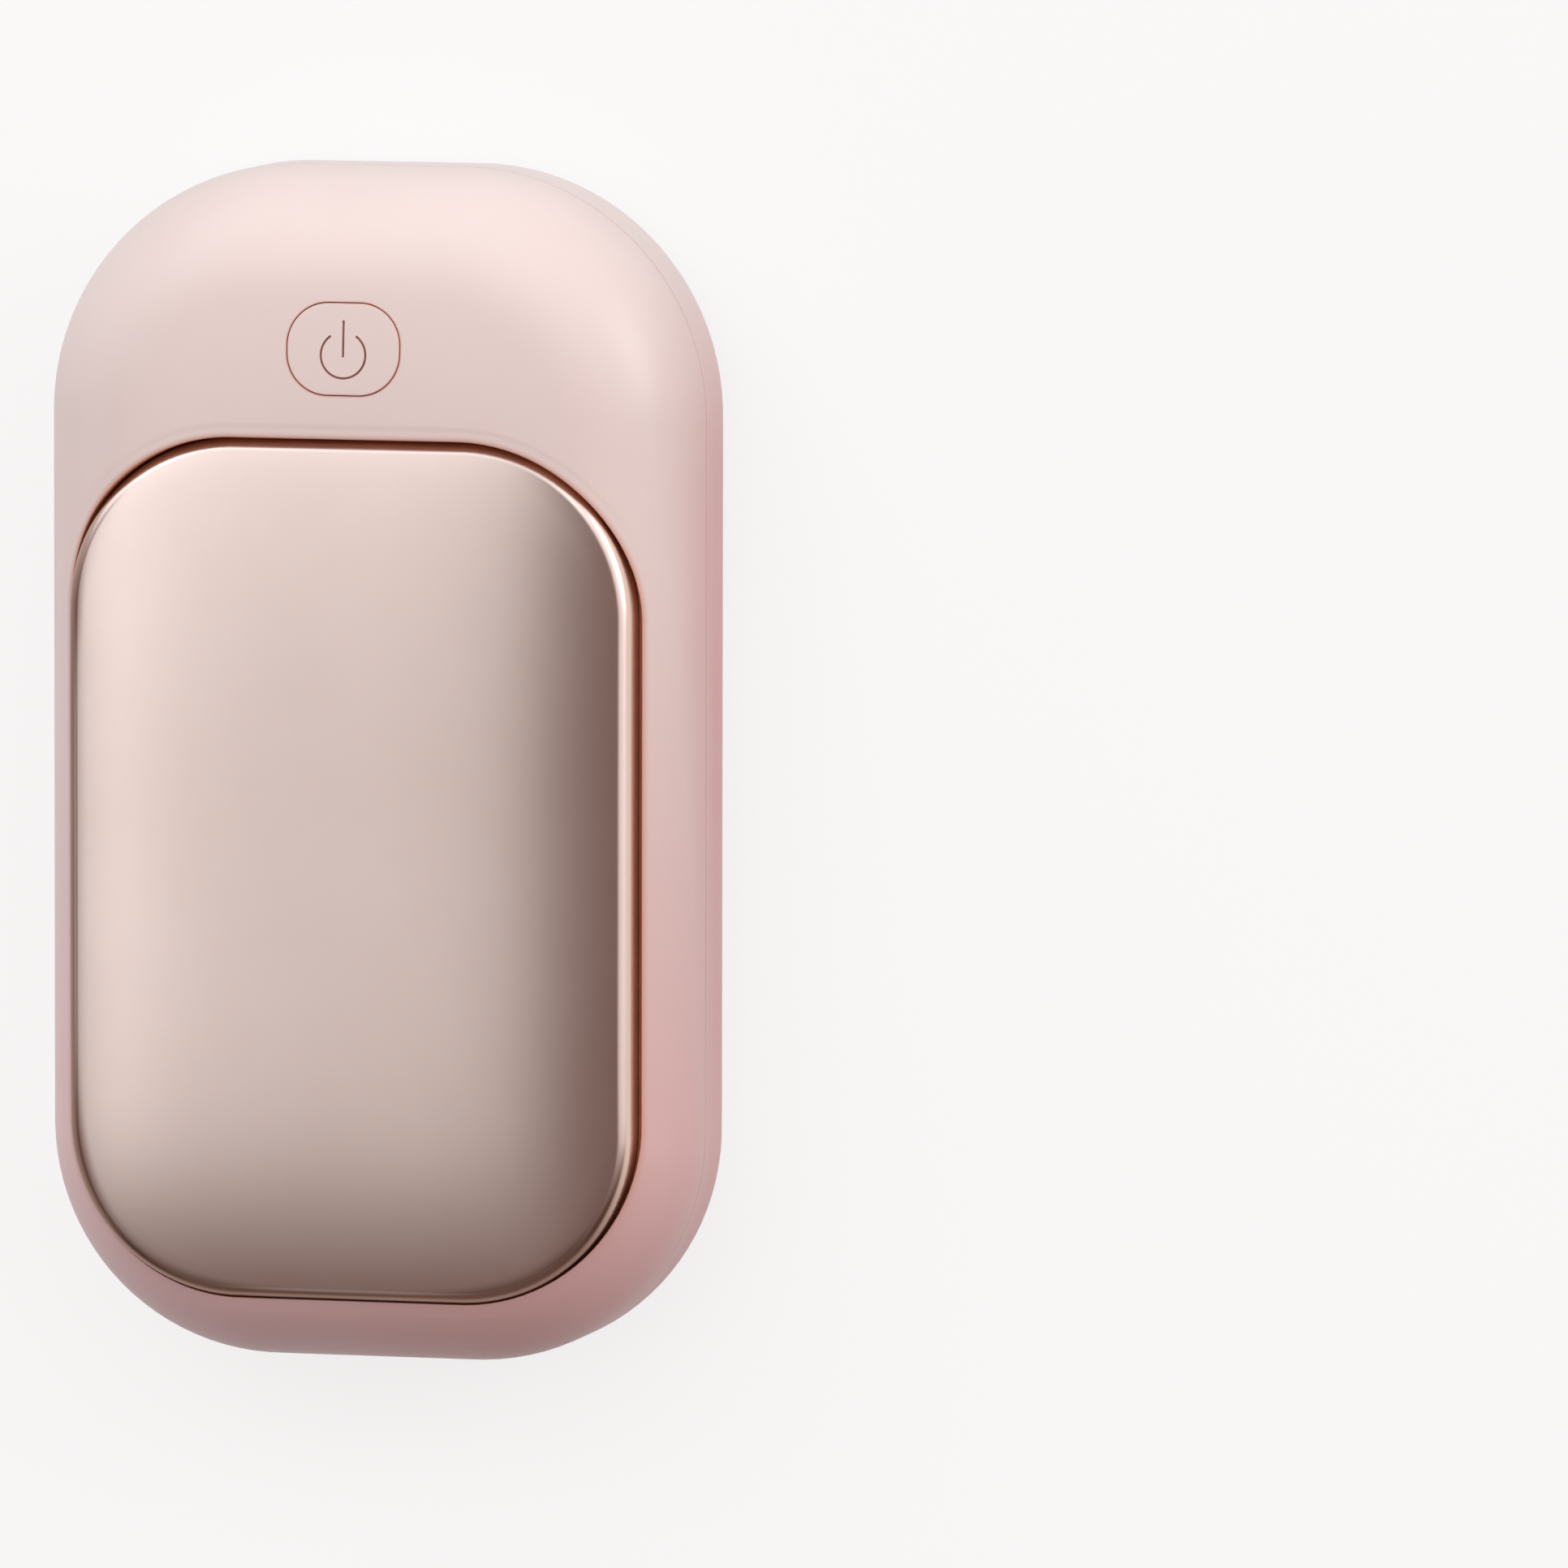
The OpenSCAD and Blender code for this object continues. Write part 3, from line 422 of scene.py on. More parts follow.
def front_shell_rings():
    def opening(radius, height, core=OPENING_CORE):
        return core, PANEL_Y, radius, height

    places = [opening(opening_r, LEDGE_Z)]
    for out, up in quarter_round(LIP_R, LIP_STEPS):
        places.append(opening(opening_r + LIP_R - out, on_skin(STEP_DEPTH + LIP_R - up)))
    places.append(opening(step_r - STEP_RAMP, on_skin(STEP_DEPTH)))
    for number in range(1, RAMP_RINGS + 1):
        share = number / RAMP_RINGS
        rise = STEP_DEPTH * (1 + math.cos(math.pi * share)) / 2
        places.append(opening(step_r - STEP_RAMP * (1 - share), on_skin(rise)))
    for number in range(1, SKIN_RINGS + 1):
        share = 1 - (1 - number / SKIN_RINGS) ** 2
        places.append(between_outlines(share, on_skin()))
    places[-1] = (BODY_CORES, 0, BODY_RADII, PARTING_Z + SEAM_R)
    groove_inset = WALL - TONGUE_T - TONGUE_FIT
    groove_top = PARTING_Z + TONGUE_H + TONGUE_FIT
    for inset, height in (
            (SEAM_R, PARTING_Z), (groove_inset, PARTING_Z), (groove_inset, groove_top), (WALL, groove_top)):
        places.append((BODY_CORES, 0, body_radii(inset), height))
    collar_r = opening_r + COLLAR_T
    for number in reversed(range(INNER_RINGS)):
        share = 1 - (1 - number / INNER_RINGS) ** 2
        places.append(between_outlines(share, on_inner_skin, inner=WALL, start_r=collar_r))
    ledge_r = PANEL_CORNER_R - LEDGE_W
    for number in range(COLLAR_RINGS + 1):
        share = number / COLLAR_RINGS
        core = (PANEL_CORE[0], mix(OPENING_CORE[1], PANEL_CORE[1], share))
        places.append(opening(mix(collar_r, ledge_r, share), under_ledge, core))
    places.append(opening(ledge_r, LEDGE_Z, PANEL_CORE))
    return places


shell_bm, ledge_ring = start_form((PANEL_CORE, PANEL_Y, PANEL_CORNER_R - LEDGE_W, LEDGE_Z))
extrude_ring(shell_bm, ledge_ring, front_shell_rings())
# Slot 1 of the ledge and the opening's wall is the painted shade and bounced light of the gap
for face in shell_bm.faces:
    middle = face.calc_center_median()
    side_reach = max(0, abs(middle.x) - OPENING_CORE[0])
    end_reach = max(0, abs(middle.y - PANEL_Y) - OPENING_CORE[1])
    in_opening = math.hypot(side_reach, end_reach) < opening_r + 2 * HAIR
    face.material_index = 1 if in_opening and middle.z > LEDGE_Z - HAIR else 0
front_shell = finished(shell_bm, "front_shell_skin", "housing", ["front_shell"])

# %% [markdown]
# ## Back cover
#
# The back is a tray with a straight wall and a small round at its foot. The ring starts at the seam,
# goes down the wall and under, and is closed with one flat face inside a narrow band, so that the round
# doesn't shade the flat. The same seam ring is then extruded the other way for the tongue and the inside.

# %% Back cover
FLAT_BAND = 0.4 * MM
BACK_EDGE_STEPS = 10


def cover_ring(inset, height):
    return BODY_CORES, 0, body_radii(inset), height


def back_cover_rings():
    outside = [cover_ring(0, PARTING_Z - SEAM_R), cover_ring(0, mix(PARTING_Z, BACK_EDGE_R, 0.5))]
    for out, up in quarter_round(BACK_EDGE_R, BACK_EDGE_STEPS):
        outside.append(cover_ring(BACK_EDGE_R - out, BACK_EDGE_R - up))
    outside.append(cover_ring(BACK_EDGE_R + FLAT_BAND, 0))
    inside = [
        cover_ring(WALL - TONGUE_T, PARTING_Z),
        cover_ring(WALL - TONGUE_T, PARTING_Z + TONGUE_H),
        cover_ring(WALL, PARTING_Z + TONGUE_H),
        cover_ring(WALL, WALL),
        cover_ring(WALL + FLAT_BAND, WALL),
    ]
    return outside, inside


cover_bm, seam_ring = start_form(cover_ring(SEAM_R, PARTING_Z))
for way in back_cover_rings():
    close_ring(cover_bm, extrude_ring(cover_bm, seam_ring, way))
back_cover = finished(cover_bm, "back_cover_skin", "housing", ["back_cover"])

# %% [markdown]
# ## Heating panel
#
# The panel is drawn from aluminium sheet: a pillowed face, a tight round along its edge and a skirt that
# stands on the ledge. A face that is flat in the middle and then starts to curve shows that change as a
# line in its reflections. So the pillow follows a power curve: it starts out flat and bends a little
# more with each millimetre, and reaches the edge at the height and slope that the frame has.

# %% Heating panel
PANEL_EDGE_STEPS = 12
FACE_RINGS = 28
UNDER_RINGS = 12
panel_tilt = math.asin((PANEL_CORNER_R - PANEL_EDGE_R) / (PANEL_CROWN_R - PANEL_EDGE_R))
pillow_reach = PANEL_CROWN_R * math.sin(panel_tilt)
pillow_fall = PANEL_CROWN_R * (1 - math.cos(panel_tilt))
pillow_half = (PANEL_CORE[0] + pillow_reach, PANEL_CORE[1] + pillow_reach)
pillow_power = [math.tan(panel_tilt) * half / pillow_fall for half in pillow_half]


def pillow_height(x, y):
    fall_x = pillow_fall * abs(x / pillow_half[0]) ** pillow_power[0]
    fall_y = pillow_fall * abs((y - PANEL_Y) / pillow_half[1]) ** pillow_power[1]
    return panel_high.z - fall_x - fall_y


def on_pillow(depth=0.0):
    return lambda x, y, out: pillow_height(x, y) - depth


panel_ring = rings_about(PANEL_CORE, PANEL_Y)
face_r = PANEL_CORNER_R - PANEL_EDGE_R * (1 - math.sin(panel_tilt))


def edge_height(radius, up):
    """The round hangs from the rim of the pillow, so it asks for the pillow's height at the rim."""
    inward = radius - face_r
    below = PANEL_EDGE_R * math.cos(panel_tilt) - up
    return lambda x, y, out: pillow_height(x - out.x * inward, y - out.y * inward) - below


def panel_rings():
    outside = []
    for out, up in quarter_round(PANEL_EDGE_R, PANEL_EDGE_STEPS, 0, math.pi / 2 - panel_tilt):
        radius = PANEL_CORNER_R - PANEL_EDGE_R + out
        outside.append(panel_ring(radius, edge_height(radius, up)))
    for number in range(1, FACE_RINGS):
        outside.append(panel_ring(face_r, on_pillow(), 1 - number / FACE_RINGS))
    inner_r = PANEL_CORNER_R - PANEL_SHEET
    inside = [panel_ring(inner_r, panel_low.z)]
    for number in range(UNDER_RINGS):
        inside.append(panel_ring(inner_r, on_pillow(PANEL_SHEET), 1 - number / UNDER_RINGS))
    return outside, inside


panel_bm, skirt_ring = start_form(panel_ring(PANEL_CORNER_R, panel_low.z))
for way, depth in zip(panel_rings(), (0, PANEL_SHEET)):
    last_ring = extrude_ring(panel_bm, skirt_ring, way)
    bmesh.ops.pointmerge(panel_bm, verts=last_ring, merge_co=(0, PANEL_Y, panel_high.z - depth))
heating_panel = finished(panel_bm, "heating_panel_drawn", "housing", ["heating_panel"])

# %% [markdown]
# ## The two openings that are cut
#
# The button's hole lies in the band of skin above the panel, and the charging socket's mouth in the
# lower end of the back cover. Both are small holes in a large surface, where a cut is simpler than
# leading rings around them. The button's cutter is laid on the skin, so its flare has the same depth all
# the way round.

# %% Button hole and socket mouth
BUTTON_GAP = 0.06 * MM
BUTTON_LIP = 0.05 * MM
BUTTON_LIP_STEPS = 5
BUTTON_CORNER_R = 3.1 * MM
CAP_HALF_W = 4.3 * MM
CAP_HALF_L = 3.4 * MM
HOLE_RING = (14, 3, 1)
HOLE_DEPTH = 6 * MM
CUTTER_RISE = 2 * MM
STEEP = 0.1
BUTTON_Y = (button_low.y + button_high.y) / 2
BUTTON_CORE = (CAP_HALF_W - BUTTON_CORNER_R, CAP_HALF_L - BUTTON_CORNER_R)
cap_ring = rings_about(BUTTON_CORE, BUTTON_Y)

hole_bm = flared_cutter(
    HOLE_RING, cap_ring, BUTTON_CORNER_R + BUTTON_GAP, BUTTON_LIP, BUTTON_LIP_STEPS,
    foot=BODY_TOP - HOLE_DEPTH, level=on_skin, top=BODY_TOP + CUTTER_RISE)
hole_bm.normal_update()
# The hole's steep walls take slot 1, the painted shade of the gap
for face in hole_bm.faces:
    face.material_index = 1 if abs(face.normal.z) < STEEP else 0
cut(front_shell, hole_bm)

socket_low, socket_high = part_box("socket_shell")
SOCKET_GAP = 0.2 * MM
SOCKET_LIP = 0.25 * MM
SOCKET_LIP_STEPS = 6
SOCKET_RING = (12, 5, 0)
PAST_WALL = 1 * MM
socket_z = (socket_low.z + socket_high.z) / 2
socket_half_w = socket_high.x
socket_half_h = (socket_high.z - socket_low.z) / 2
# A ring round the socket is drawn lying down: its height becomes the way out of the housing
stadium = rings_about((socket_half_w - socket_half_h, 0), socket_z)

mouth_bm = flared_cutter(
    SOCKET_RING, stadium, socket_half_h + SOCKET_GAP, SOCKET_LIP, SOCKET_LIP_STEPS,
    foot=BODY_HALF_L - WALL - PAST_WALL, level=lambda depth: BODY_HALF_L - depth,
    top=BODY_HALF_L + PAST_WALL)
bmesh.ops.transform(mouth_bm, matrix=upright, verts=mouth_bm.verts)
cut(back_cover, mouth_bm)

# %% [markdown]
# ## Socket shell
#
# The metal shell of the socket is a drawn stadium tube with a rolled lip. It is seen through its mouth,
# so it gets its lip and a real wall.

# %% Socket shell
SOCKET_WALL = 0.25 * MM
TUBE_LIP = 0.1 * MM
TUBE_LIP_STEPS = 4
tube_front = -socket_low.y
tube_back = -socket_high.y

tube_bm, tube_ring = start_form(stadium(socket_half_h, tube_back), SOCKET_RING)
tube_places = []
for out, up in quarter_round(TUBE_LIP, TUBE_LIP_STEPS):
    tube_places.append(stadium(socket_half_h - TUBE_LIP + out, tube_front - TUBE_LIP + up))
for out, up in reversed(quarter_round(TUBE_LIP, TUBE_LIP_STEPS)):
    tube_places.append(stadium(socket_half_h - SOCKET_WALL + TUBE_LIP - out, tube_front - TUBE_LIP + up))
tube_places.append(stadium(socket_half_h - SOCKET_WALL, tube_back))
tube_places.append(stadium(socket_half_h, tube_back))
extrude_ring(tube_bm, tube_ring, tube_places)
bmesh.ops.transform(tube_bm, matrix=upright, verts=tube_bm.verts)
socket_shell = finished(tube_bm, "socket_shell_drawn", "housing", ["socket_shell"])

# %% [markdown]
# ## Button cap
#
# The cap is a small moulding that fills its hole: its top follows the skin and stands a hair above it,
# its edge is rounded, and its flange keeps it in the shell. It is hollow, because a clear light guide
# fills it. Rings give all of this in one go, from the foot of the flange to the middle of the top, and
# back inside.

# %% Button cap
CAP_PROUD = 0.03 * MM
CAP_EDGE_R = 0.08 * MM
CAP_WALL = 0.9 * MM
CAP_T = 1.5 * MM
FLANGE_W = 0.8 * MM
FLANGE_T = 0.7 * MM
CAP_FOOT_RING = (14, 5, 3)
CAP_EDGE_STEPS = 7
CAP_RINGS = 16


def cap_rings():
    edge = BUTTON_CORNER_R - CAP_EDGE_R
    outside = [
        cap_ring(BUTTON_CORNER_R + FLANGE_W, button_low.z + FLANGE_T),
        cap_ring(BUTTON_CORNER_R, button_low.z + FLANGE_T),
    ]
    for out, up in quarter_round(CAP_EDGE_R, CAP_EDGE_STEPS):
        outside.append(cap_ring(edge + out, on_skin(CAP_EDGE_R - CAP_PROUD - up)))
    for number in range(1, CAP_RINGS):
        outside.append(cap_ring(edge, on_skin(-CAP_PROUD), 1 - number / CAP_RINGS))
    inside = [
        cap_ring(BUTTON_CORNER_R - CAP_WALL, button_low.z),
        cap_ring(BUTTON_CORNER_R - CAP_WALL, BODY_TOP - CAP_T),
        cap_ring(BUTTON_CORNER_R - CAP_WALL, BODY_TOP - CAP_T, 0.5),
    ]
    return outside, inside


cap_bm, foot_ring = start_form(cap_ring(BUTTON_CORNER_R + FLANGE_W, button_low.z), CAP_FOOT_RING)
for way in cap_rings():
    close_ring(cap_bm, extrude_ring(cap_bm, foot_ring, way))
cap_bm.normal_update()
# The cap's side walls above the flange take slot 1, the painted shade of the gap
for face in cap_bm.faces:
    in_gap = abs(face.normal.z) < STEEP and face.calc_center_median().z > button_low.z + FLANGE_T
    face.material_index = 1 if in_gap else 0
button_cap = finished(cap_bm, "power_button_cap", "button", ["power_button"])

# %% [markdown]
# ## The power sign
#
# The sign is the usual broken ring with a bar, pressed into the cap as a fine groove. A picture of it
# would do from far away, but a real groove catches the light. A small circle is spun into a tube for
# the ring, and stepped along for the bar, and both are laid on the top of the cap, where half of each
# tube sinks in. They are cut in one go, since a second cut would have to work on the odd faces that the
# first one leaves. The faces in the groove get a darker finish of their own.

# %% Power sign
SIGN_R = 1.71 * MM
SIGN_LINE = 0.17 * MM
SIGN_GAP = math.radians(34)
SIGN_BAR_TOP = 2.57 * MM
SIGN_BAR_FOOT = -0.15 * MM
SIGN_BAR_STEPS = 10
SIGN_RING_STEPS = 72
SIGN_SIDES = 12
sign_lift = (SIGN_BAR_TOP - SIGN_R) / 2
sign_y = BUTTON_Y - sign_lift


def lay_on_cap(bm):
    for vert in bm.verts:
        vert.co.z += skin_height(vert.co.x, vert.co.y) + CAP_PROUD
    for face in bm.faces:
        face.material_index = 2


def add_sign_ring(bm):
    start = Matrix.Rotation(SIGN_GAP, 4, "Z") @ Matrix.Translation((0, SIGN_R, 0))
    side_on = start @ Matrix.Rotation(math.pi / 2, 4, "Y")
    bmesh.ops.create_circle(bm, segments=SIGN_SIDES, radius=SIGN_LINE / 2, cap_ends=True, matrix=side_on)
    sweep = 2 * math.pi - 2 * SIGN_GAP
    whole = bm.faces[:] + bm.edges[:] + bm.verts[:]
    bmesh.ops.spin(bm, geom=whole, axis=(0, 0, 1), angle=sweep, steps=SIGN_RING_STEPS)
    bmesh.ops.translate(bm, vec=(0, sign_y, 0), verts=bm.verts)


def add_sign_bar(bm):
    foot = Matrix.Translation((0, sign_y + SIGN_BAR_FOOT, 0)) @ upright
    made = bmesh.ops.create_circle(
        bm, segments=SIGN_SIDES, radius=SIGN_LINE / 2, cap_ends=True, matrix=foot)
    end = set(made["verts"])
    for vert in made["verts"]:
        end.update(vert.link_edges, vert.link_faces)
    step = (SIGN_BAR_TOP - SIGN_BAR_FOOT) / SIGN_BAR_STEPS
    bmesh.ops.spin(bm, geom=list(end), axis=(0, 0, 1), dvec=(0, step, 0), steps=SIGN_BAR_STEPS)


sign_rose = bpy.data.materials.new("sign_rose")
for material in (satin_pink, gap_shade_pink, sign_rose):
    button_cap.data.materials.append(material)
sign_bm = bmesh.new()
add_sign_ring(sign_bm)
add_sign_bar(sign_bm)
lay_on_cap(sign_bm)
cut(button_cap, sign_bm)

# %% [markdown]
# ## Node helpers
#
# A finish is a small tree of nodes. One helper adds a node and fills its sockets, with a number, a colour
# or another node's output, and one starts a group whose sockets have names. The rest wrap the nodes that
# are used most. Every pattern reads the Object coordinates, which are metres in the warmer's own frame, so
# a grain of a fifth of a millimetre has a scale of 5000.

# %% Node helpers
NUMBER = "NodeSocketFloat"
COLOUR = "NodeSocketColor"


def add_node(tree, kind, inputs=None, **settings):
    node = tree.nodes.new(kind if kind.startswith("NodeGroup") else "ShaderNode" + kind)
    for name, value in settings.items():
        setattr(node, name, value)
    for name, value in (inputs or {}).items():
        if isinstance(value, bpy.types.NodeSocket):
            tree.links.new(value, node.inputs[name])
        else:
            node.inputs[name].default_value = value
    return node


def place_in_frame(tree):
    return add_node(tree, "TexCoord").outputs["Object"]


def axes_of(tree):
    return add_node(tree, "SeparateXYZ", {"Vector": place_in_frame(tree)}).outputs


def combine(tree, first, second, operation="ADD"):
    return add_node(tree, "Math", {0: first, 1: second}, operation=operation).outputs[0]


def spread_over(tree, value, low, high):
    """A value from low to high becomes one from 0 to 1, with soft ends."""
    inputs = {"Value": value, "From Min": low, "From Max": high}
    return add_node(tree, "MapRange", inputs, interpolation_type="SMOOTHSTEP").outputs["Result"]


def mix_colour(tree, share, first, second):
    return add_node(tree, "Mix", {0: share, 6: first, 7: second}, data_type="RGBA").outputs[2]


def start_group(name, inputs, outputs):
    group = bpy.data.node_groups.new(name, "ShaderNodeTree")
    for socket_name, (kind, value) in inputs.items():
        socket = group.interface.new_socket(name=socket_name, in_out="INPUT", socket_type=kind)
        socket.default_value = value
    for socket_name, kind in outputs.items():
        group.interface.new_socket(name=socket_name, in_out="OUTPUT", socket_type=kind)
    return group, add_node(group, "NodeGroupInput").outputs, add_node(group, "NodeGroupOutput")


def use_group(tree, group, inputs=None):
    return add_node(tree, "Group", inputs, node_tree=group).outputs


def rgb(red, green, blue):
    return (red, green, blue, 1)


# %% [markdown]
# ## Effects that the finishes share
#
# Four effects turn up again and again, so each is a group that is built once. Fine grain is the texture
# of the mould or of blasted metal. Colour drift makes a tint wander a little, as pigment and plating do.
# Handled gloss varies the roughness, because no surface that people touch is even. Edge wear finds the
# edges: a bevel node rounds the normal there, so where the rounded normal leaves the true one, an edge is
# near. Only hard inner parts show it.

# %% Shared effects
COARSE_SCALE = 0.23
COARSE_HEIGHT = 0.6
MARKS_PER_PATCH = 1.5
PATCH_EDGE = (0.3, 0.7)
WORN_BEND = (0.004, 0.12)
BREAK_EDGE = (0.35, 0.65)


def noise(tree, scale, detail, roughness=0.5):
    inputs = {"Vector": place_in_frame(tree), "Scale": scale, "Detail": detail, "Roughness": roughness}
    return add_node(tree, "TexNoise", inputs).outputs["Fac"]


grain_group, wanted, made = start_group(
    "fine_grain", {"Grains per Metre": (NUMBER, 5000)}, {"Height": NUMBER})
fine = noise(grain_group, wanted["Grains per Metre"], detail=2, roughness=0.6)
fewer = combine(grain_group, wanted["Grains per Metre"], COARSE_SCALE, "MULTIPLY")
coarse = noise(grain_group, fewer, detail=1)
coarse_part = combine(grain_group, coarse, COARSE_HEIGHT, "MULTIPLY")
grain_sum = combine(grain_group, fine, coarse_part)
grain_group.links.new(grain_sum, made.inputs["Height"])

drift_group, wanted, made = start_group(
    "colour_drift",
    {"Colour": (COLOUR, rgb(0.8, 0.8, 0.8)), "Other Colour": (COLOUR, rgb(0.7, 0.7, 0.7)),
     "Patches per Metre": (NUMBER, 60)},
    {"Colour": COLOUR})
patches = noise(drift_group, wanted["Patches per Metre"], detail=4, roughness=0.55)
patch_mask = spread_over(drift_group, patches, *PATCH_EDGE)
drift_sum = mix_colour(drift_group, patch_mask, wanted["Colour"], wanted["Other Colour"])
drift_group.links.new(drift_sum, made.inputs["Colour"])

gloss_group, wanted, made = start_group(
    "handled_gloss",
    {"Roughness": (NUMBER, 0.4), "Spread": (NUMBER, 0.05), "Marks per Metre": (NUMBER, 90)},
    {"Roughness": NUMBER})
marks = noise(gloss_group, wanted["Marks per Metre"], detail=5, roughness=0.6)
centred = combine(gloss_group, marks, 0.5, "SUBTRACT")
marks_part = combine(gloss_group, centred, wanted["Spread"], "MULTIPLY")
gloss_sum = combine(gloss_group, wanted["Roughness"], marks_part)
gloss_group.links.new(gloss_sum, made.inputs["Roughness"])

wear_group, wanted, made = start_group(
    "edge_wear",
    {"Width": (NUMBER, 0.12 * MM), "Patches per Metre": (NUMBER, 900)},
    {"Mask": NUMBER})
rounded = add_node(wear_group, "Bevel", {"Radius": wanted["Width"]}, samples=4).outputs["Normal"]
true_normal = add_node(wear_group, "NewGeometry").outputs["Normal"]
likeness = add_node(wear_group, "VectorMath", {0: rounded, 1: true_normal}, operation="DOT_PRODUCT")
departure = combine(wear_group, 1, likeness.outputs["Value"], "SUBTRACT")
near_edge = spread_over(wear_group, departure, *WORN_BEND)
broken = noise(wear_group, wanted["Patches per Metre"], detail=3)
broken_mask = spread_over(wear_group, broken, *BREAK_EDGE)
worn = combine(wear_group, near_edge, broken_mask, "MULTIPLY")
wear_group.links.new(worn, made.inputs["Mask"])
print("groups:", [group.name for group in bpy.data.node_groups])


# %% [markdown]
# ## How a finish is put together
#
# Each finish is a Principled shader that takes its colour, roughness and bump from the shared effects,
# with its own numbers: colour patches per metre, roughness and its spread, grains per metre and their
# height in millimetres. What is the same all over a surface, such as how metallic it is, stays on the
# shader itself. A finish may also bring a colour pattern of its own, and a relief on top of the grain.

# %% Finish helpers
def start_finish(name, *pieces):
    """Starts a finish and puts it on pieces: the scene's own, and the frame's by name."""
    material = bpy.data.materials.get(name) or bpy.data.materials.new(name)
    material.use_nodes = True
    for piece in pieces:
        piece = nodes[piece] if isinstance(piece, str) else piece
        if not piece.material_slots:
            piece.data.materials.append(material)
        piece.material_slots[0].material = material
    return material.node_tree, material.node_tree.nodes["Principled BSDF"]


def add_relief(tree, shader, height, depth):
    """Bumps a shader, over the bump that it already has. The depth is in millimetres."""
    inputs = {"Strength": 1, "Distance": depth * MM, "Height": height}
    for link in shader.inputs["Normal"].links:
        inputs["Normal"] = link.from_socket
    bump = add_node(tree, "Bump", inputs)
    tree.links.new(bump.outputs["Normal"], shader.inputs["Normal"])


def fill_finish(tree, shader, colour, other, numbers, worn=None):
    """Feeds a shader. A worn colour, if there is one, shows along the edges."""
    patches, roughness, spread, grains, depth = numbers
    tints = {"Colour": colour, "Other Colour": other, "Patches per Metre": patches}
    tint = use_group(tree, drift_group, tints)["Colour"]
    if worn:
        tint = mix_colour(tree, use_group(tree, wear_group)["Mask"], tint, worn)
    tree.links.new(tint, shader.inputs["Base Color"])
    marks = {"Roughness": roughness, "Spread": spread, "Marks per Metre": patches * MARKS_PER_PATCH}
    tree.links.new(use_group(tree, gloss_group, marks)["Roughness"], shader.inputs["Roughness"])
    height = use_group(tree, grain_group, {"Grains per Metre": grains})["Height"]
    add_relief(tree, shader, height, depth)


# %% [markdown]
# ## Pink plastic
#
# The housing is moulded in pale pink and has a satin skin. Light and shade are painted into the pink: it
# is kept lightest at the button's end, where the light falls, and is given painted shade, rosier towards
# the foot and down the walls, most of all on its right. So the tints are mixed along all three axes
# before the drift is added. Close to the panel painted shade deepens the pink within half a millimetre,
# except at the foot, which a distance worked out from the opening's own outline can show. That holds for
# the front shell alone, so the mask ends above the seam. Painted shade also deepens the pink round the
# button and in the fine groove of the seam. The button is the same plastic. Walls in a narrow gap get
# light that has bounced between them many times, and each time the pink has kept some of its blue and
# green; that red-brown of bounced light and shade is painted on the faces in the gaps. The sign's groove
# was filled with a dark rose. Both are plain finishes, which come further on.

# %% Pink plastic
# Lit and shaded tints of the one pink: painted light and shade
PINK_LIT_HEAD = rgb(0.88, 0.79, 0.77)
PINK_SHADED_ROSY = rgb(0.76, 0.435, 0.435)
PINK_SHADED_LILAC = rgb(0.80, 0.55, 0.57)
PINK_GAP_SHADE = rgb(0.70, 0.36, 0.27)
PINK_WANDER = 0.18

# Each change of tint is a pair: where it starts and where it is complete
TOWARDS_FOOT = (40 * MM, -60 * MM)
DOWN_THE_WALL = (15 * MM, 3 * MM)
OFF_THE_HEAD = (42 * MM, 18 * MM)
TO_THE_RIGHT = (-8 * MM, 24 * MM)
OFF_THE_FOOT = (-38 * MM, -28 * MM)
ABOVE_SEAM = (PARTING_Z + 2 * MM, PARTING_Z + 3 * MM)
NEAR_SEAM = (SEAM_R + 0.05 * MM, SEAM_R - 0.03 * MM)
NEAR_OPENING = (opening_r + 0.5 * MM, opening_r - 0.1 * MM)
ROUND_CAP = (BUTTON_CORNER_R + 0.22 * MM, BUTTON_CORNER_R + 0.04 * MM)
RIM_OF_CAP = (BUTTON_CORNER_R - 0.12 * MM, BUTTON_CORNER_R)


def beyond_core(tree, value, middle, half):
    """How far a coordinate lies beyond the flat middle of a rounded rectangle."""
    off_middle = combine(tree, value, middle, "SUBTRACT")
    side_way = combine(tree, off_middle, 0, "MAXIMUM")
    other_way = combine(tree, combine(tree, off_middle, -1, "MULTIPLY"), side_way, "MAXIMUM")
    return combine(tree, combine(tree, other_way, half, "SUBTRACT"), 0, "MAXIMUM")


def reach_of(tree, axes, core, middle_y):
    """How far a point lies from the core of a rounded rectangle, so that each outline is one value."""
    ways = (beyond_core(tree, axes["X"], 0, core[0]), beyond_core(tree, axes["Y"], middle_y, core[1]))
    squares = [combine(tree, way, 2, "POWER") for way in ways]
    return combine(tree, combine(tree, *squares), 0.5, "POWER")


def near_button(tree, axes):
    """Both sides of the narrow gap round the button, where shade is painted."""
    reach = reach_of(tree, axes, BUTTON_CORE, BUTTON_Y)
    outside = spread_over(tree, reach, *ROUND_CAP)
    inside = spread_over(tree, reach, *RIM_OF_CAP)
    return combine(tree, outside, inside, "MULTIPLY")


# Where painted shade deepens the pink: close to the opening but not at the foot, and round the button, above
# the seam
def near_gap(tree, axes):
    reach = reach_of(tree, axes, OPENING_CORE, PANEL_Y)
    near_opening = spread_over(tree, reach, *NEAR_OPENING)
    near_opening = combine(tree, near_opening, spread_over(tree, axes["Y"], *OFF_THE_FOOT), "MULTIPLY")
    near_either = combine(tree, near_opening, near_button(tree, axes), "MAXIMUM")
    return combine(tree, near_either, spread_over(tree, axes["Z"], *ABOVE_SEAM), "MULTIPLY")


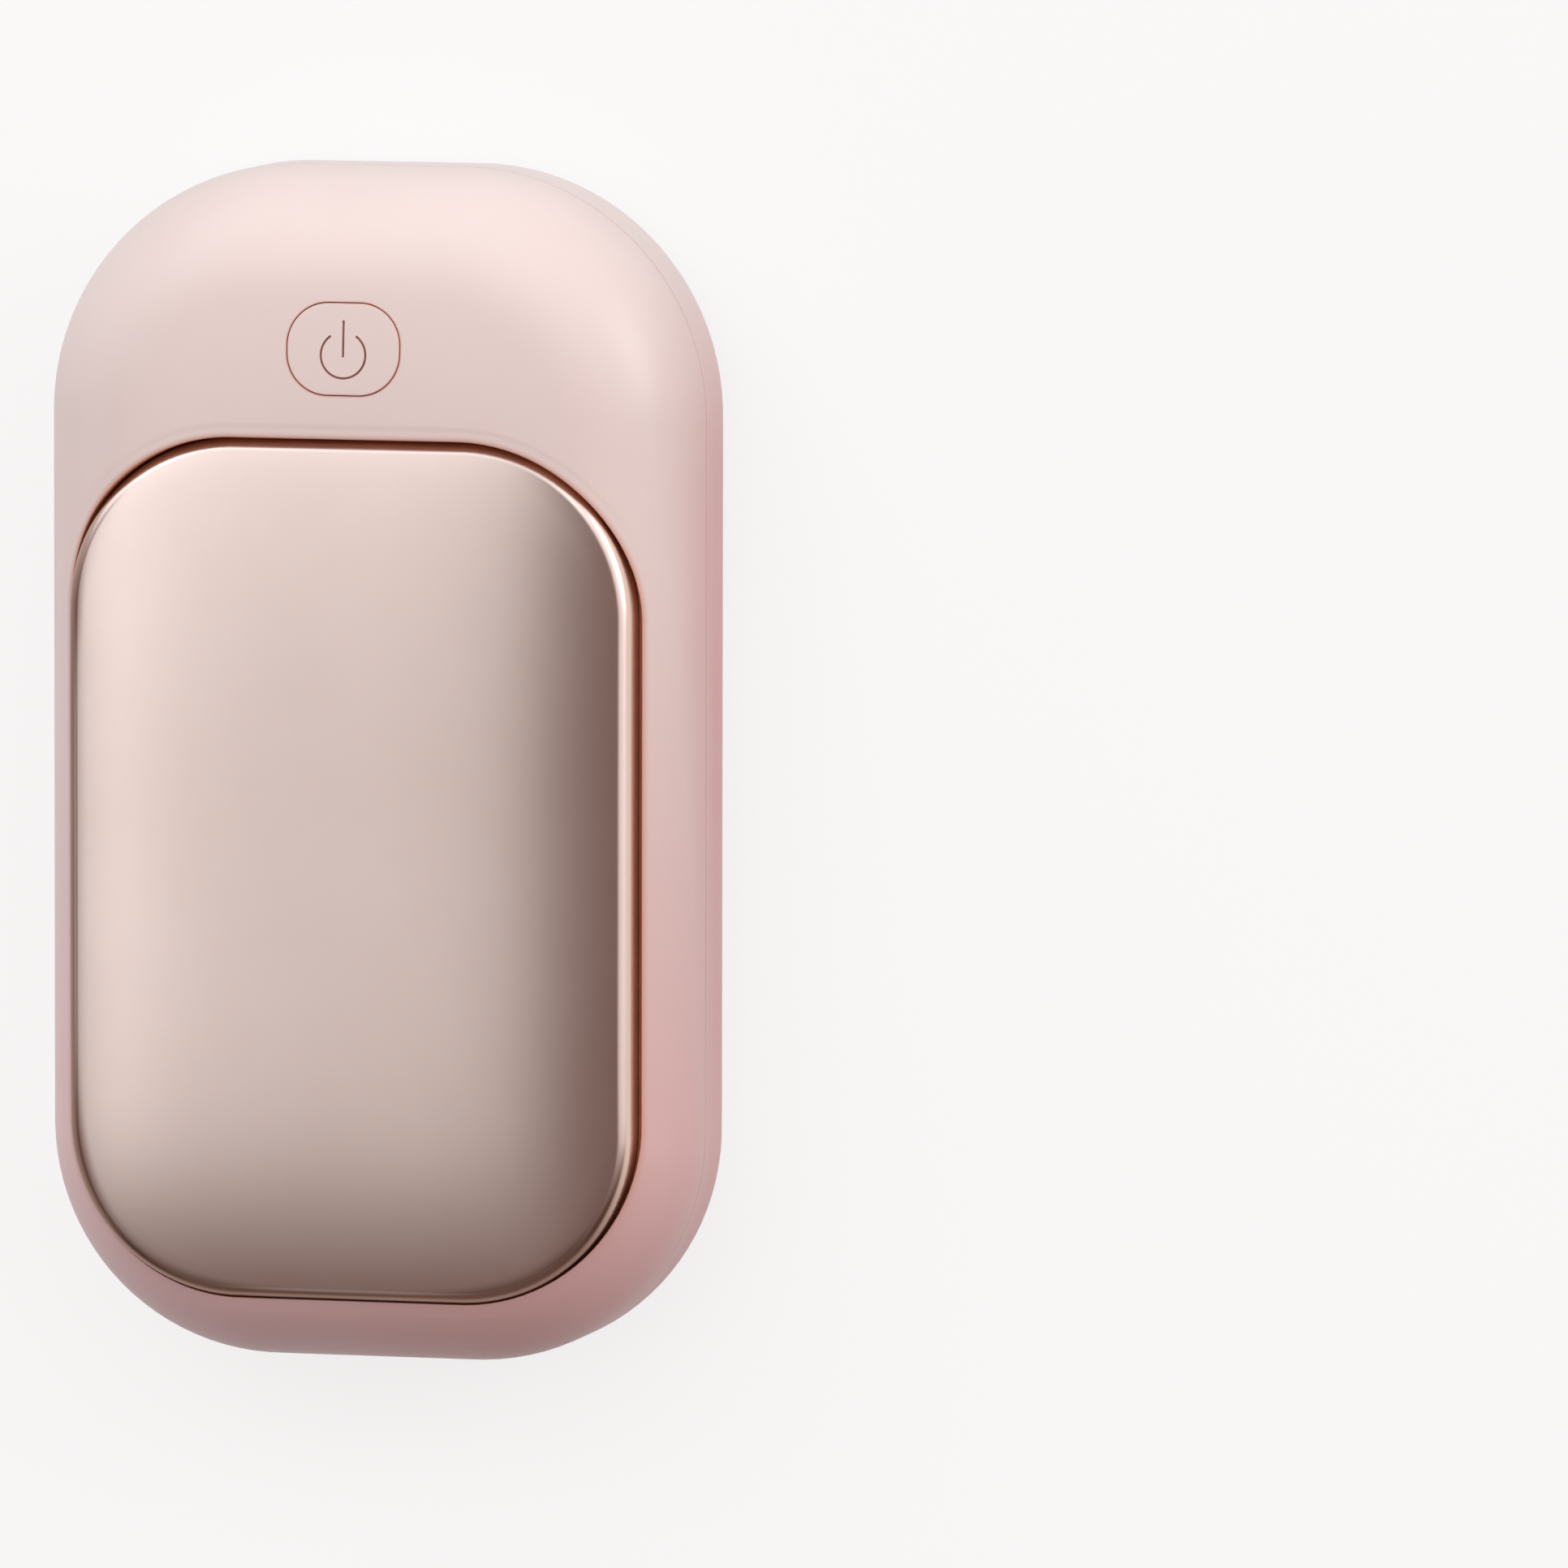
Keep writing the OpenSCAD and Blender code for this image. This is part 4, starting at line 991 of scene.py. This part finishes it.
def pink_with_painted_shade(tree):
    axes = axes_of(tree)
    # Painted light and shade: lightest at the head, rosier towards the foot, down the walls and on the right
    foot_share = spread_over(tree, axes["Y"], *TOWARDS_FOOT)
    low_share = spread_over(tree, axes["Z"], *DOWN_THE_WALL)
    wall_shade_share = combine(tree, low_share, spread_over(tree, axes["Y"], *OFF_THE_HEAD), "MULTIPLY")
    rosy = mix_colour(tree, spread_over(tree, axes["X"], *TO_THE_RIGHT), PINK_SHADED_LILAC, PINK_SHADED_ROSY)
    pink = mix_colour(tree, combine(tree, foot_share, wall_shade_share, "MAXIMUM"), PINK_LIT_HEAD, rosy)
    above_seam = combine(tree, axes["Z"], PARTING_Z, "SUBTRACT")
    off_seam = add_node(tree, "Math", {0: above_seam}, operation="ABSOLUTE").outputs[0]
    # Painted shade: deeper pink near the gaps and in the seam's groove
    gap_shade_share = combine(tree, near_gap(tree, axes), spread_over(tree, off_seam, *NEAR_SEAM), "MAXIMUM")
    return mix_colour(tree, gap_shade_share, pink, PINK_GAP_SHADE)


tree, shader = start_finish("satin_pink", back_cover)
pink = pink_with_painted_shade(tree)
wandering_pink = mix_colour(tree, PINK_WANDER, pink, rgb(0.78, 0.60, 0.58))
fill_finish(tree, shader, pink, wandering_pink, (45.0, 0.40, 0.10, 5200.0, 0.0009))
shader.inputs["Specular IOR Level"].default_value = 0.35

# %% [markdown]
# ## Rose-gold panel
#
# The panel is aluminium, blasted with fine beads and anodised in rose gold. Blasting blurs what the
# metal mirrors but leaves it a metal, so its whole colour is in its reflections. The bump is finer and
# shallower than the plastic's. The wall below the rolled edge gets a painted brown reflection and shade,
# lighter on the lit sides. In the picture the painted brown climbs higher up the round at the left and at
# the foot, where it is also deeper, so the height at which it starts depends on the side.

# %% Panel finish
ROSE_GOLD = rgb(0.80, 0.70, 0.668)
# Lit and shaded copies of the wall's painted brown reflection and shade
WALL_PAINTED_LIT = rgb(0.78, 0.58, 0.48)
SHADED_WALL = rgb(0.26, 0.15, 0.115)
SHADE_CLIMB = 0.42 * MM
HEAD_SHARE = 0.7
METAL_WANDER = 0.08
rim_z = pillow_height(PANEL_CORE[0] + face_r, PANEL_Y)
PANEL_TO_RIGHT = (9 * MM, 16 * MM)
PANEL_OFF_FOOT = (-36 * MM, -26 * MM)
PANEL_TO_HEAD = (10 * MM, 24 * MM)
DOWN_THE_RIM = (rim_z + 0.04 * MM, rim_z - 0.18 * MM)

tree, shader = start_finish("rose_gold", heating_panel)
axes = axes_of(tree)
off_foot = spread_over(tree, axes["Y"], *PANEL_OFF_FOOT)
right_side = combine(tree, spread_over(tree, axes["X"], *PANEL_TO_RIGHT), off_foot, "MULTIPLY")
head_side = combine(tree, spread_over(tree, axes["Y"], *PANEL_TO_HEAD), HEAD_SHARE, "MULTIPLY")
lit_side = combine(tree, right_side, head_side, "MAXIMUM")
# The painted brown reflection and shade of the wall: on the lit sides it starts lower and is paler
climb = combine(tree, axes["Z"], combine(tree, lit_side, SHADE_CLIMB, "MULTIPLY"))
wall_shade_share = spread_over(tree, climb, *DOWN_THE_RIM)
wall_shade_colour = mix_colour(tree, lit_side, SHADED_WALL, WALL_PAINTED_LIT)
metal = mix_colour(tree, wall_shade_share, ROSE_GOLD, wall_shade_colour)
duller_metal = mix_colour(tree, METAL_WANDER, metal, rgb(0.5, 0.38, 0.35))
fill_finish(tree, shader, metal, duller_metal, (70.0, 0.295, 0.04, 5200.0, 0.0005))
shader.inputs["Metallic"].default_value = 1

# %% [markdown]
# ## Plain finishes
#
# Most of what is inside has one material all over, and so have the faces in the narrow gaps and in the
# sign's groove. Each still gets its own grain, drift and gloss: black epoxy is matt and gritty, nickel
# strip is drawn and bright, ferrite is pressed powder. A table holds their two colours, the colour of
# worn edges if there is one, their numbers, how metallic they are and which pieces wear them.

# %% Table of plain finishes
PLAIN_FINISHES = {
    # Painted shade and bounced light on the faces in the narrow gaps
    "gap_shade_pink": (
        rgb(0.80, 0.36, 0.22), rgb(0.72, 0.31, 0.18), None,
        (300.0, 0.55, 0.1, 9000.0, 0.002), 0, ()),
    "sign_rose": (
        rgb(0.40, 0.18, 0.15), rgb(0.30, 0.13, 0.11), None,
        (900.0, 0.5, 0.1, 9000.0, 0.002), 0, ()),
    "black_tape": (
        rgb(0.03, 0.03, 0.032), rgb(0.05, 0.05, 0.05), None,
        (400.0, 0.75, 0.2, 6000.0, 0.012), 0, ("panel_tape", "battery_tape")),
    "sensor_bead": (
        rgb(0.02, 0.018, 0.016), rgb(0.05, 0.035, 0.03), None,
        (500.0, 0.25, 0.15, 2500.0, 0.010), 0, ("thermistor",)),
    "black_epoxy": (
        rgb(0.022, 0.022, 0.024), rgb(0.04, 0.04, 0.042), rgb(0.10, 0.10, 0.10),
        (350.0, 0.62, 0.15, 9000.0, 0.006), 0,
        ("charge_chip", "control_chip", "protection_chips", "resistors", "socket_tongue")),
    "nickel_strip": (
        rgb(0.66, 0.62, 0.56), rgb(0.58, 0.54, 0.48), rgb(0.80, 0.77, 0.72),
        (220.0, 0.32, 0.2, 4000.0, 0.003), 1,
        ("battery_tabs", "switch_terminals", "switch_dome", "switch_cover")),
    "plated_steel": (
        rgb(0.72, 0.72, 0.73), rgb(0.62, 0.62, 0.64), rgb(0.85, 0.85, 0.86),
        (260.0, 0.28, 0.2, 5200.0, 0.002), 1, ("board_screws", socket_shell)),
    "gold_contact": (
        rgb(0.95, 0.68, 0.30), rgb(0.88, 0.60, 0.25), None,
        (500.0, 0.22, 0.15, 7000.0, 0.001), 1, ("socket_contacts",)),
    "pressed_ferrite": (
        rgb(0.06, 0.06, 0.064), rgb(0.10, 0.10, 0.10), None,
        (600.0, 0.55, 0.2, 3500.0, 0.02), 0, ("inductor",)),
    "tan_ceramic": (
        rgb(0.42, 0.29, 0.17), rgb(0.34, 0.23, 0.13), None,
        (900.0, 0.45, 0.15, 8000.0, 0.004), 0, ("capacitors",)),
    "bright_solder": (
        rgb(0.74, 0.74, 0.73), rgb(0.60, 0.60, 0.60), None,
        (900.0, 0.25, 0.3, 2600.0, 0.012), 1, ("solder_joints",)),
    "thin_insulation": (
        rgb(0.72, 0.70, 0.66), rgb(0.62, 0.60, 0.56), None,
        (200.0, 0.45, 0.1, 3000.0, 0.006), 0, ("thermistor_leads", "board_lead")),
    "dark_nylon": (
        rgb(0.045, 0.045, 0.05), rgb(0.06, 0.06, 0.065), rgb(0.12, 0.12, 0.12),
        (300.0, 0.48, 0.15, 4500.0, 0.006), 0, ("switch_base", "switch_plunger")),
    "magnet_nickel": (
        rgb(0.68, 0.65, 0.60), rgb(0.60, 0.57, 0.52), rgb(0.80, 0.78, 0.74),
        (120.0, 0.18, 0.25, 1800.0, 0.002), 1, ("magnets",)),
}
for name, (colour, other, worn, numbers, metallic, wearers) in PLAIN_FINISHES.items():
    tree, shader = start_finish(name, *wearers)
    fill_finish(tree, shader, colour, other, numbers, worn)
    shader.inputs["Metallic"].default_value = metallic
print(len(PLAIN_FINISHES), "plain finishes")

# %% [markdown]
# ## Circuit boards
#
# A board is woven glass under a green lacquer. Copper tracks lie under the lacquer and show as lighter
# lines, and the weave shows as a fine raised check. Two brick patterns of long thin bricks make tracks
# that run beside each other and stop at different places, and two wave patterns make the weave.

# %% Board finish
# Each row of tracks: height of a row, length of a track and width of its line, in millimetres
TRACK_ROWS = ((1.6, 7.0, 0.18), (2.7, 4.3, 0.22))
TRACK_HEIGHT = 2
THREADS = 700
WEAVE_DEPTH = 0.006
BLACK = rgb(0, 0, 0)

tree, shader = start_finish("board_green", "main_board", "battery_board", "switch_board")
place = place_in_frame(tree)
track_masks = []
for row_height, track_length, line in TRACK_ROWS:
    tracks = add_node(tree, "TexBrick", {
        "Vector": place, "Color1": BLACK, "Color2": BLACK, "Mortar": rgb(1, 1, 1), "Scale": 1,
        "Mortar Size": line * MM, "Mortar Smooth": 0.1,
        "Brick Width": track_length * MM, "Row Height": row_height * MM})
    track_masks.append(tracks.outputs["Color"])
all_tracks = combine(tree, *track_masks, "MAXIMUM")
lacquer = mix_colour(tree, all_tracks, rgb(0.012, 0.13, 0.055), rgb(0.03, 0.24, 0.10))
fill_finish(tree, shader, lacquer, rgb(0.012, 0.11, 0.05), (150.0, 0.3, 0.1, 4200.0, 0.003))
weave_masks = []
for axis in ("X", "Y"):
    threads = add_node(tree, "TexWave", {"Vector": place, "Scale": THREADS}, bands_direction=axis)
    weave_masks.append(threads.outputs["Fac"])
weave = combine(tree, *weave_masks, "MULTIPLY")
raised_tracks = combine(tree, all_tracks, TRACK_HEIGHT, "MULTIPLY")
add_relief(tree, shader, combine(tree, weave, raised_tracks), WEAVE_DEPTH)

# %% [markdown]
# ## Heating foil
#
# The heating film is amber polyimide with an etched metal track that runs to and fro. The track shows
# through as darker bands with a slight relief, and stops short of the film's border.

# %% Heating foil finish
TRACK_BANDS = 130
TRACK_EDGE = (0.35, 0.5)
FOIL_BORDER = (16.9 * MM, 16.6 * MM)
TRACK_DEPTH = 0.02

tree, shader = start_finish("heating_foil", "heater_film")
bands = add_node(
    tree, "TexWave", {"Vector": place_in_frame(tree), "Scale": TRACK_BANDS}, bands_direction="Y")
band_mask = spread_over(tree, bands.outputs["Fac"], *TRACK_EDGE)
side_way = add_node(tree, "Math", {0: axes_of(tree)["X"]}, operation="ABSOLUTE").outputs[0]
track_mask = combine(tree, band_mask, spread_over(tree, side_way, *FOIL_BORDER), "MULTIPLY")
film_colour = mix_colour(tree, track_mask, rgb(0.62, 0.27, 0.035), rgb(0.27, 0.11, 0.03))
fill_finish(tree, shader, film_colour, rgb(0.55, 0.23, 0.03), (90.0, 0.28, 0.12, 2600.0, 0.003))
add_relief(tree, shader, track_mask, TRACK_DEPTH)

# %% [markdown]
# ## Pouch of the cell
#
# A pouch cell is wrapped in laminated aluminium foil, silvery and slightly creased. Stretched noise gives
# soft creases along its length, over the fine grain of the nylon layer.

# %% Pouch finish
CREASE_STRETCH = (1, 0.25, 1)
CREASES = 320
CREASE_DEPTH = 0.09

tree, shader = start_finish("pouch_foil", "battery_cell")
fill_finish(
    tree, shader, rgb(0.70, 0.70, 0.71), rgb(0.62, 0.62, 0.64), (60.0, 0.34, 0.15, 3800.0, 0.004))
stretch = add_node(tree, "Mapping", {"Vector": place_in_frame(tree), "Scale": CREASE_STRETCH})
creases = add_node(tree, "TexNoise", {
    "Vector": stretch.outputs["Vector"], "Scale": CREASES, "Detail": 3, "Roughness": 0.45,
    "Distortion": 0.6})
add_relief(tree, shader, creases.outputs["Fac"], CREASE_DEPTH)
shader.inputs["Metallic"].default_value = 0.85

# %% [markdown]
# ## Foam
#
# Foam is a pack of closed bubbles, which a Voronoi pattern makes: pale walls and pits darkened with
# painted shade, which also sink in a little.

# %% Foam
BUBBLES = 1700
BUBBLE_EDGE = (0.1, 0.65)
BUBBLE_DEPTH = 0.08

tree, shader = start_finish("grey_foam", "insulation_foam")
bubbles = add_node(tree, "TexVoronoi", {"Vector": place_in_frame(tree), "Scale": BUBBLES, "Randomness": 1})
bubble_walls = spread_over(tree, bubbles.outputs["Distance"], *BUBBLE_EDGE)
# The pits are darkened with painted shade
foam_colour = mix_colour(tree, bubble_walls, rgb(0.16, 0.16, 0.165), rgb(0.34, 0.34, 0.345))
fill_finish(tree, shader, foam_colour, rgb(0.25, 0.25, 0.255), (120.0, 0.9, 0.1, 5000.0, 0.01))
add_relief(tree, shader, bubble_walls, BUBBLE_DEPTH)

# %% [markdown]
# ## Insulated wires
#
# The leads of a pair are told apart by their colour. Both are one piece, so the colour changes halfway
# between the two, where no wire runs.

# %% Wires
DUST_SHARE = 0.12


def pair_finish(name, node, first, second):
    """Two insulation colours, split halfway between the two wires of a pair."""
    low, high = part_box(node)
    middle = (low.x + high.x) / 2
    tree, shader = start_finish(name, node)
    side = combine(tree, axes_of(tree)["X"], middle, "GREATER_THAN")
    insulation = mix_colour(tree, side, first, second)
    dusty = mix_colour(tree, DUST_SHARE, insulation, rgb(0.4, 0.4, 0.4))
    fill_finish(tree, shader, insulation, dusty, (260.0, 0.42, 0.15, 3000.0, 0.008))


pair_finish("battery_wire", "battery_leads", rgb(0.02, 0.02, 0.022), rgb(0.55, 0.02, 0.015))
pair_finish("heater_wire", "heater_leads", rgb(0.62, 0.60, 0.56), rgb(0.56, 0.53, 0.48))

# %% [markdown]
# ## Lamps and light guide
#
# The lamps under the button are white packages with a yellow phosphor window in their top. The light guide
# above them is a milky clear plastic, so it lets light through but hides the lamps.

# %% Lamps of the button, and its light guide
lamp_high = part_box("indicator_leds")[1].z
LAMP_WINDOW = (lamp_high - 0.05 * MM, lamp_high - 0.01 * MM)

tree, shader = start_finish("lamp_body", "indicator_leds")
window = spread_over(tree, axes_of(tree)["Z"], *LAMP_WINDOW)
lamp_colour = mix_colour(tree, window, rgb(0.78, 0.78, 0.75), rgb(0.80, 0.62, 0.16))
fill_finish(tree, shader, lamp_colour, rgb(0.70, 0.68, 0.60), (800.0, 0.35, 0.1, 6000.0, 0.004))

tree, shader = start_finish("milky_guide", "light_guide")
fill_finish(
    tree, shader, rgb(0.90, 0.90, 0.88), rgb(0.84, 0.85, 0.84), (200.0, 0.22, 0.1, 4000.0, 0.003))
shader.inputs["Transmission Weight"].default_value = 0.7
shader.inputs["IOR"].default_value = 1.58
undressed = [name for name, piece in nodes.items() if not piece.material_slots]
print("pieces of the frame without a finish:", undressed)

# %% [markdown]
# ## Floor
#
# The warmer lies on a plain pale floor. Seen by the camera, and in reflections, the floor is mostly a
# glow of its own, so that it stays white from edge to edge. The rest is a real surface, which keeps the
# soft shadow of the warmer. For the light that it sends back up to the warmer it is darker, as a floor
# far below the warmer would be.

# %% Floor
FLOOR_Z = -0.02 * MM
FLOOR_SIZE = 4
FLOOR_GLOW = 0.8
FLOOR_PAINT = rgb(0.9, 0.9, 0.9)
FLOOR_DIM = rgb(0.14, 0.14, 0.14)

floor_bm = bmesh.new()
under_warmer = Matrix.Translation((0, 0, FLOOR_Z))
bmesh.ops.create_grid(floor_bm, x_segments=1, y_segments=1, size=FLOOR_SIZE, matrix=under_warmer)
floor = as_piece(floor_bm, "floor")

floor_material = bpy.data.materials.new("floor_white")
floor_material.use_nodes = True
tree = floor_material.node_tree
tree.nodes.clear()
rays = add_node(tree, "LightPath").outputs
seen = combine(tree, rays["Is Camera Ray"], rays["Is Glossy Ray"], "MAXIMUM")
seen = combine(tree, seen, rays["Is Transmission Ray"], "MAXIMUM")
surface = add_node(tree, "BsdfDiffuse", {"Color": FLOOR_PAINT}).outputs[0]
glow = add_node(tree, "Emission", {"Strength": 1}).outputs[0]
blend = add_node(tree, "MixShader", {0: FLOOR_GLOW, 1: surface, 2: glow}).outputs[0]
dim_surface = add_node(tree, "BsdfDiffuse", {"Color": FLOOR_DIM}).outputs[0]
by_ray = add_node(tree, "MixShader", {0: seen, 1: dim_surface, 2: blend}).outputs[0]
add_node(tree, "OutputMaterial", {"Surface": by_ray})
floor.data.materials.append(floor_material)

# %% [markdown]
# ## Light
#
# Satin metal shows what lies around it, blurred. In the picture the panel is bright on the left and
# towards the top, and dim on the right and at its foot. So a wide softbox stands on the left, with a
# strip at its far side, a weak box above it and another below, and nothing but the dim room lies behind
# the camera. Two more hang over the top end and the top left, one on the right draws the bright line along
# the panel's rolled edge, and a small strong lamp beside it lights the right shoulder. Two weak ones low on
# the left and at the foot keep the walls there from sinking. Large faces at a low level do better than
# small bright ones, because the panel mirrors one or another of them from every side.

# %% Lamps
LAMP_DISTANCE = 1.2
WHITE = (1, 1, 1)
# Way to each lamp in degrees right and up, width and length in metres, how bright its face is, its tint
LAMPS = {
    "left_softbox": (-24.5, 13.5, 0.86, 1.1, 0.9, WHITE),
    "head_softbox": (-24.5, 27, 0.86, 0.45, 0.17, WHITE),
    "left_strip": (-34, 10, 0.24, 1.1, 0.5, WHITE),
    "low_softbox": (-24, -18, 0.86, 0.34, 0.2, WHITE),
    "top_softbox": (-10, 60, 1.9, 1.25, 1.06, WHITE),
    "top_left_softbox": (-70, 44, 1.1, 1.1, 1.2, WHITE),
    "left_fill": (-80, -6, 0.8, 1.3, 0.7, (0.93, 0.97, 1)),
    "foot_fill": (-5, -63, 1.6, 1.0, 0.3, WHITE),
    "right_softbox": (59, 16, 1.4, 1.4, 0.96, (1, 0.92, 0.9)),
    "shoulder_lamp": (77, 22, 0.3, 0.6, 8.0, WHITE),
}
ROOM_LIGHT = 0.14
ROOM_COLOUR = rgb(1, 0.50, 0.36)

for name, (right, up, width, length, radiance, tint) in LAMPS.items():
    data = bpy.data.lights.new(name, "AREA")
    data.shape = "RECTANGLE"
    data.size = width
    data.size_y = length
    data.energy = radiance * math.pi * width * length
    data.color = tint
    lamp = bpy.data.objects.new(name, data)
    bpy.context.scene.collection.objects.link(lamp)
    way = direction(math.radians(right), math.radians(up))
    lamp.location = warmer_middle + way * LAMP_DISTANCE
    lamp.rotation_euler = aim_matrix(way, Vector((0, 1, 0))).to_euler()
    print(name, round(data.energy, 2), "W")

world = bpy.data.worlds.new("room")
world.use_nodes = True
background = world.node_tree.nodes["Background"].inputs
background["Color"].default_value = ROOM_COLOUR
background["Strength"].default_value = ROOM_LIGHT
bpy.context.scene.world = world
bpy.context.scene.view_settings.view_transform = "Standard"
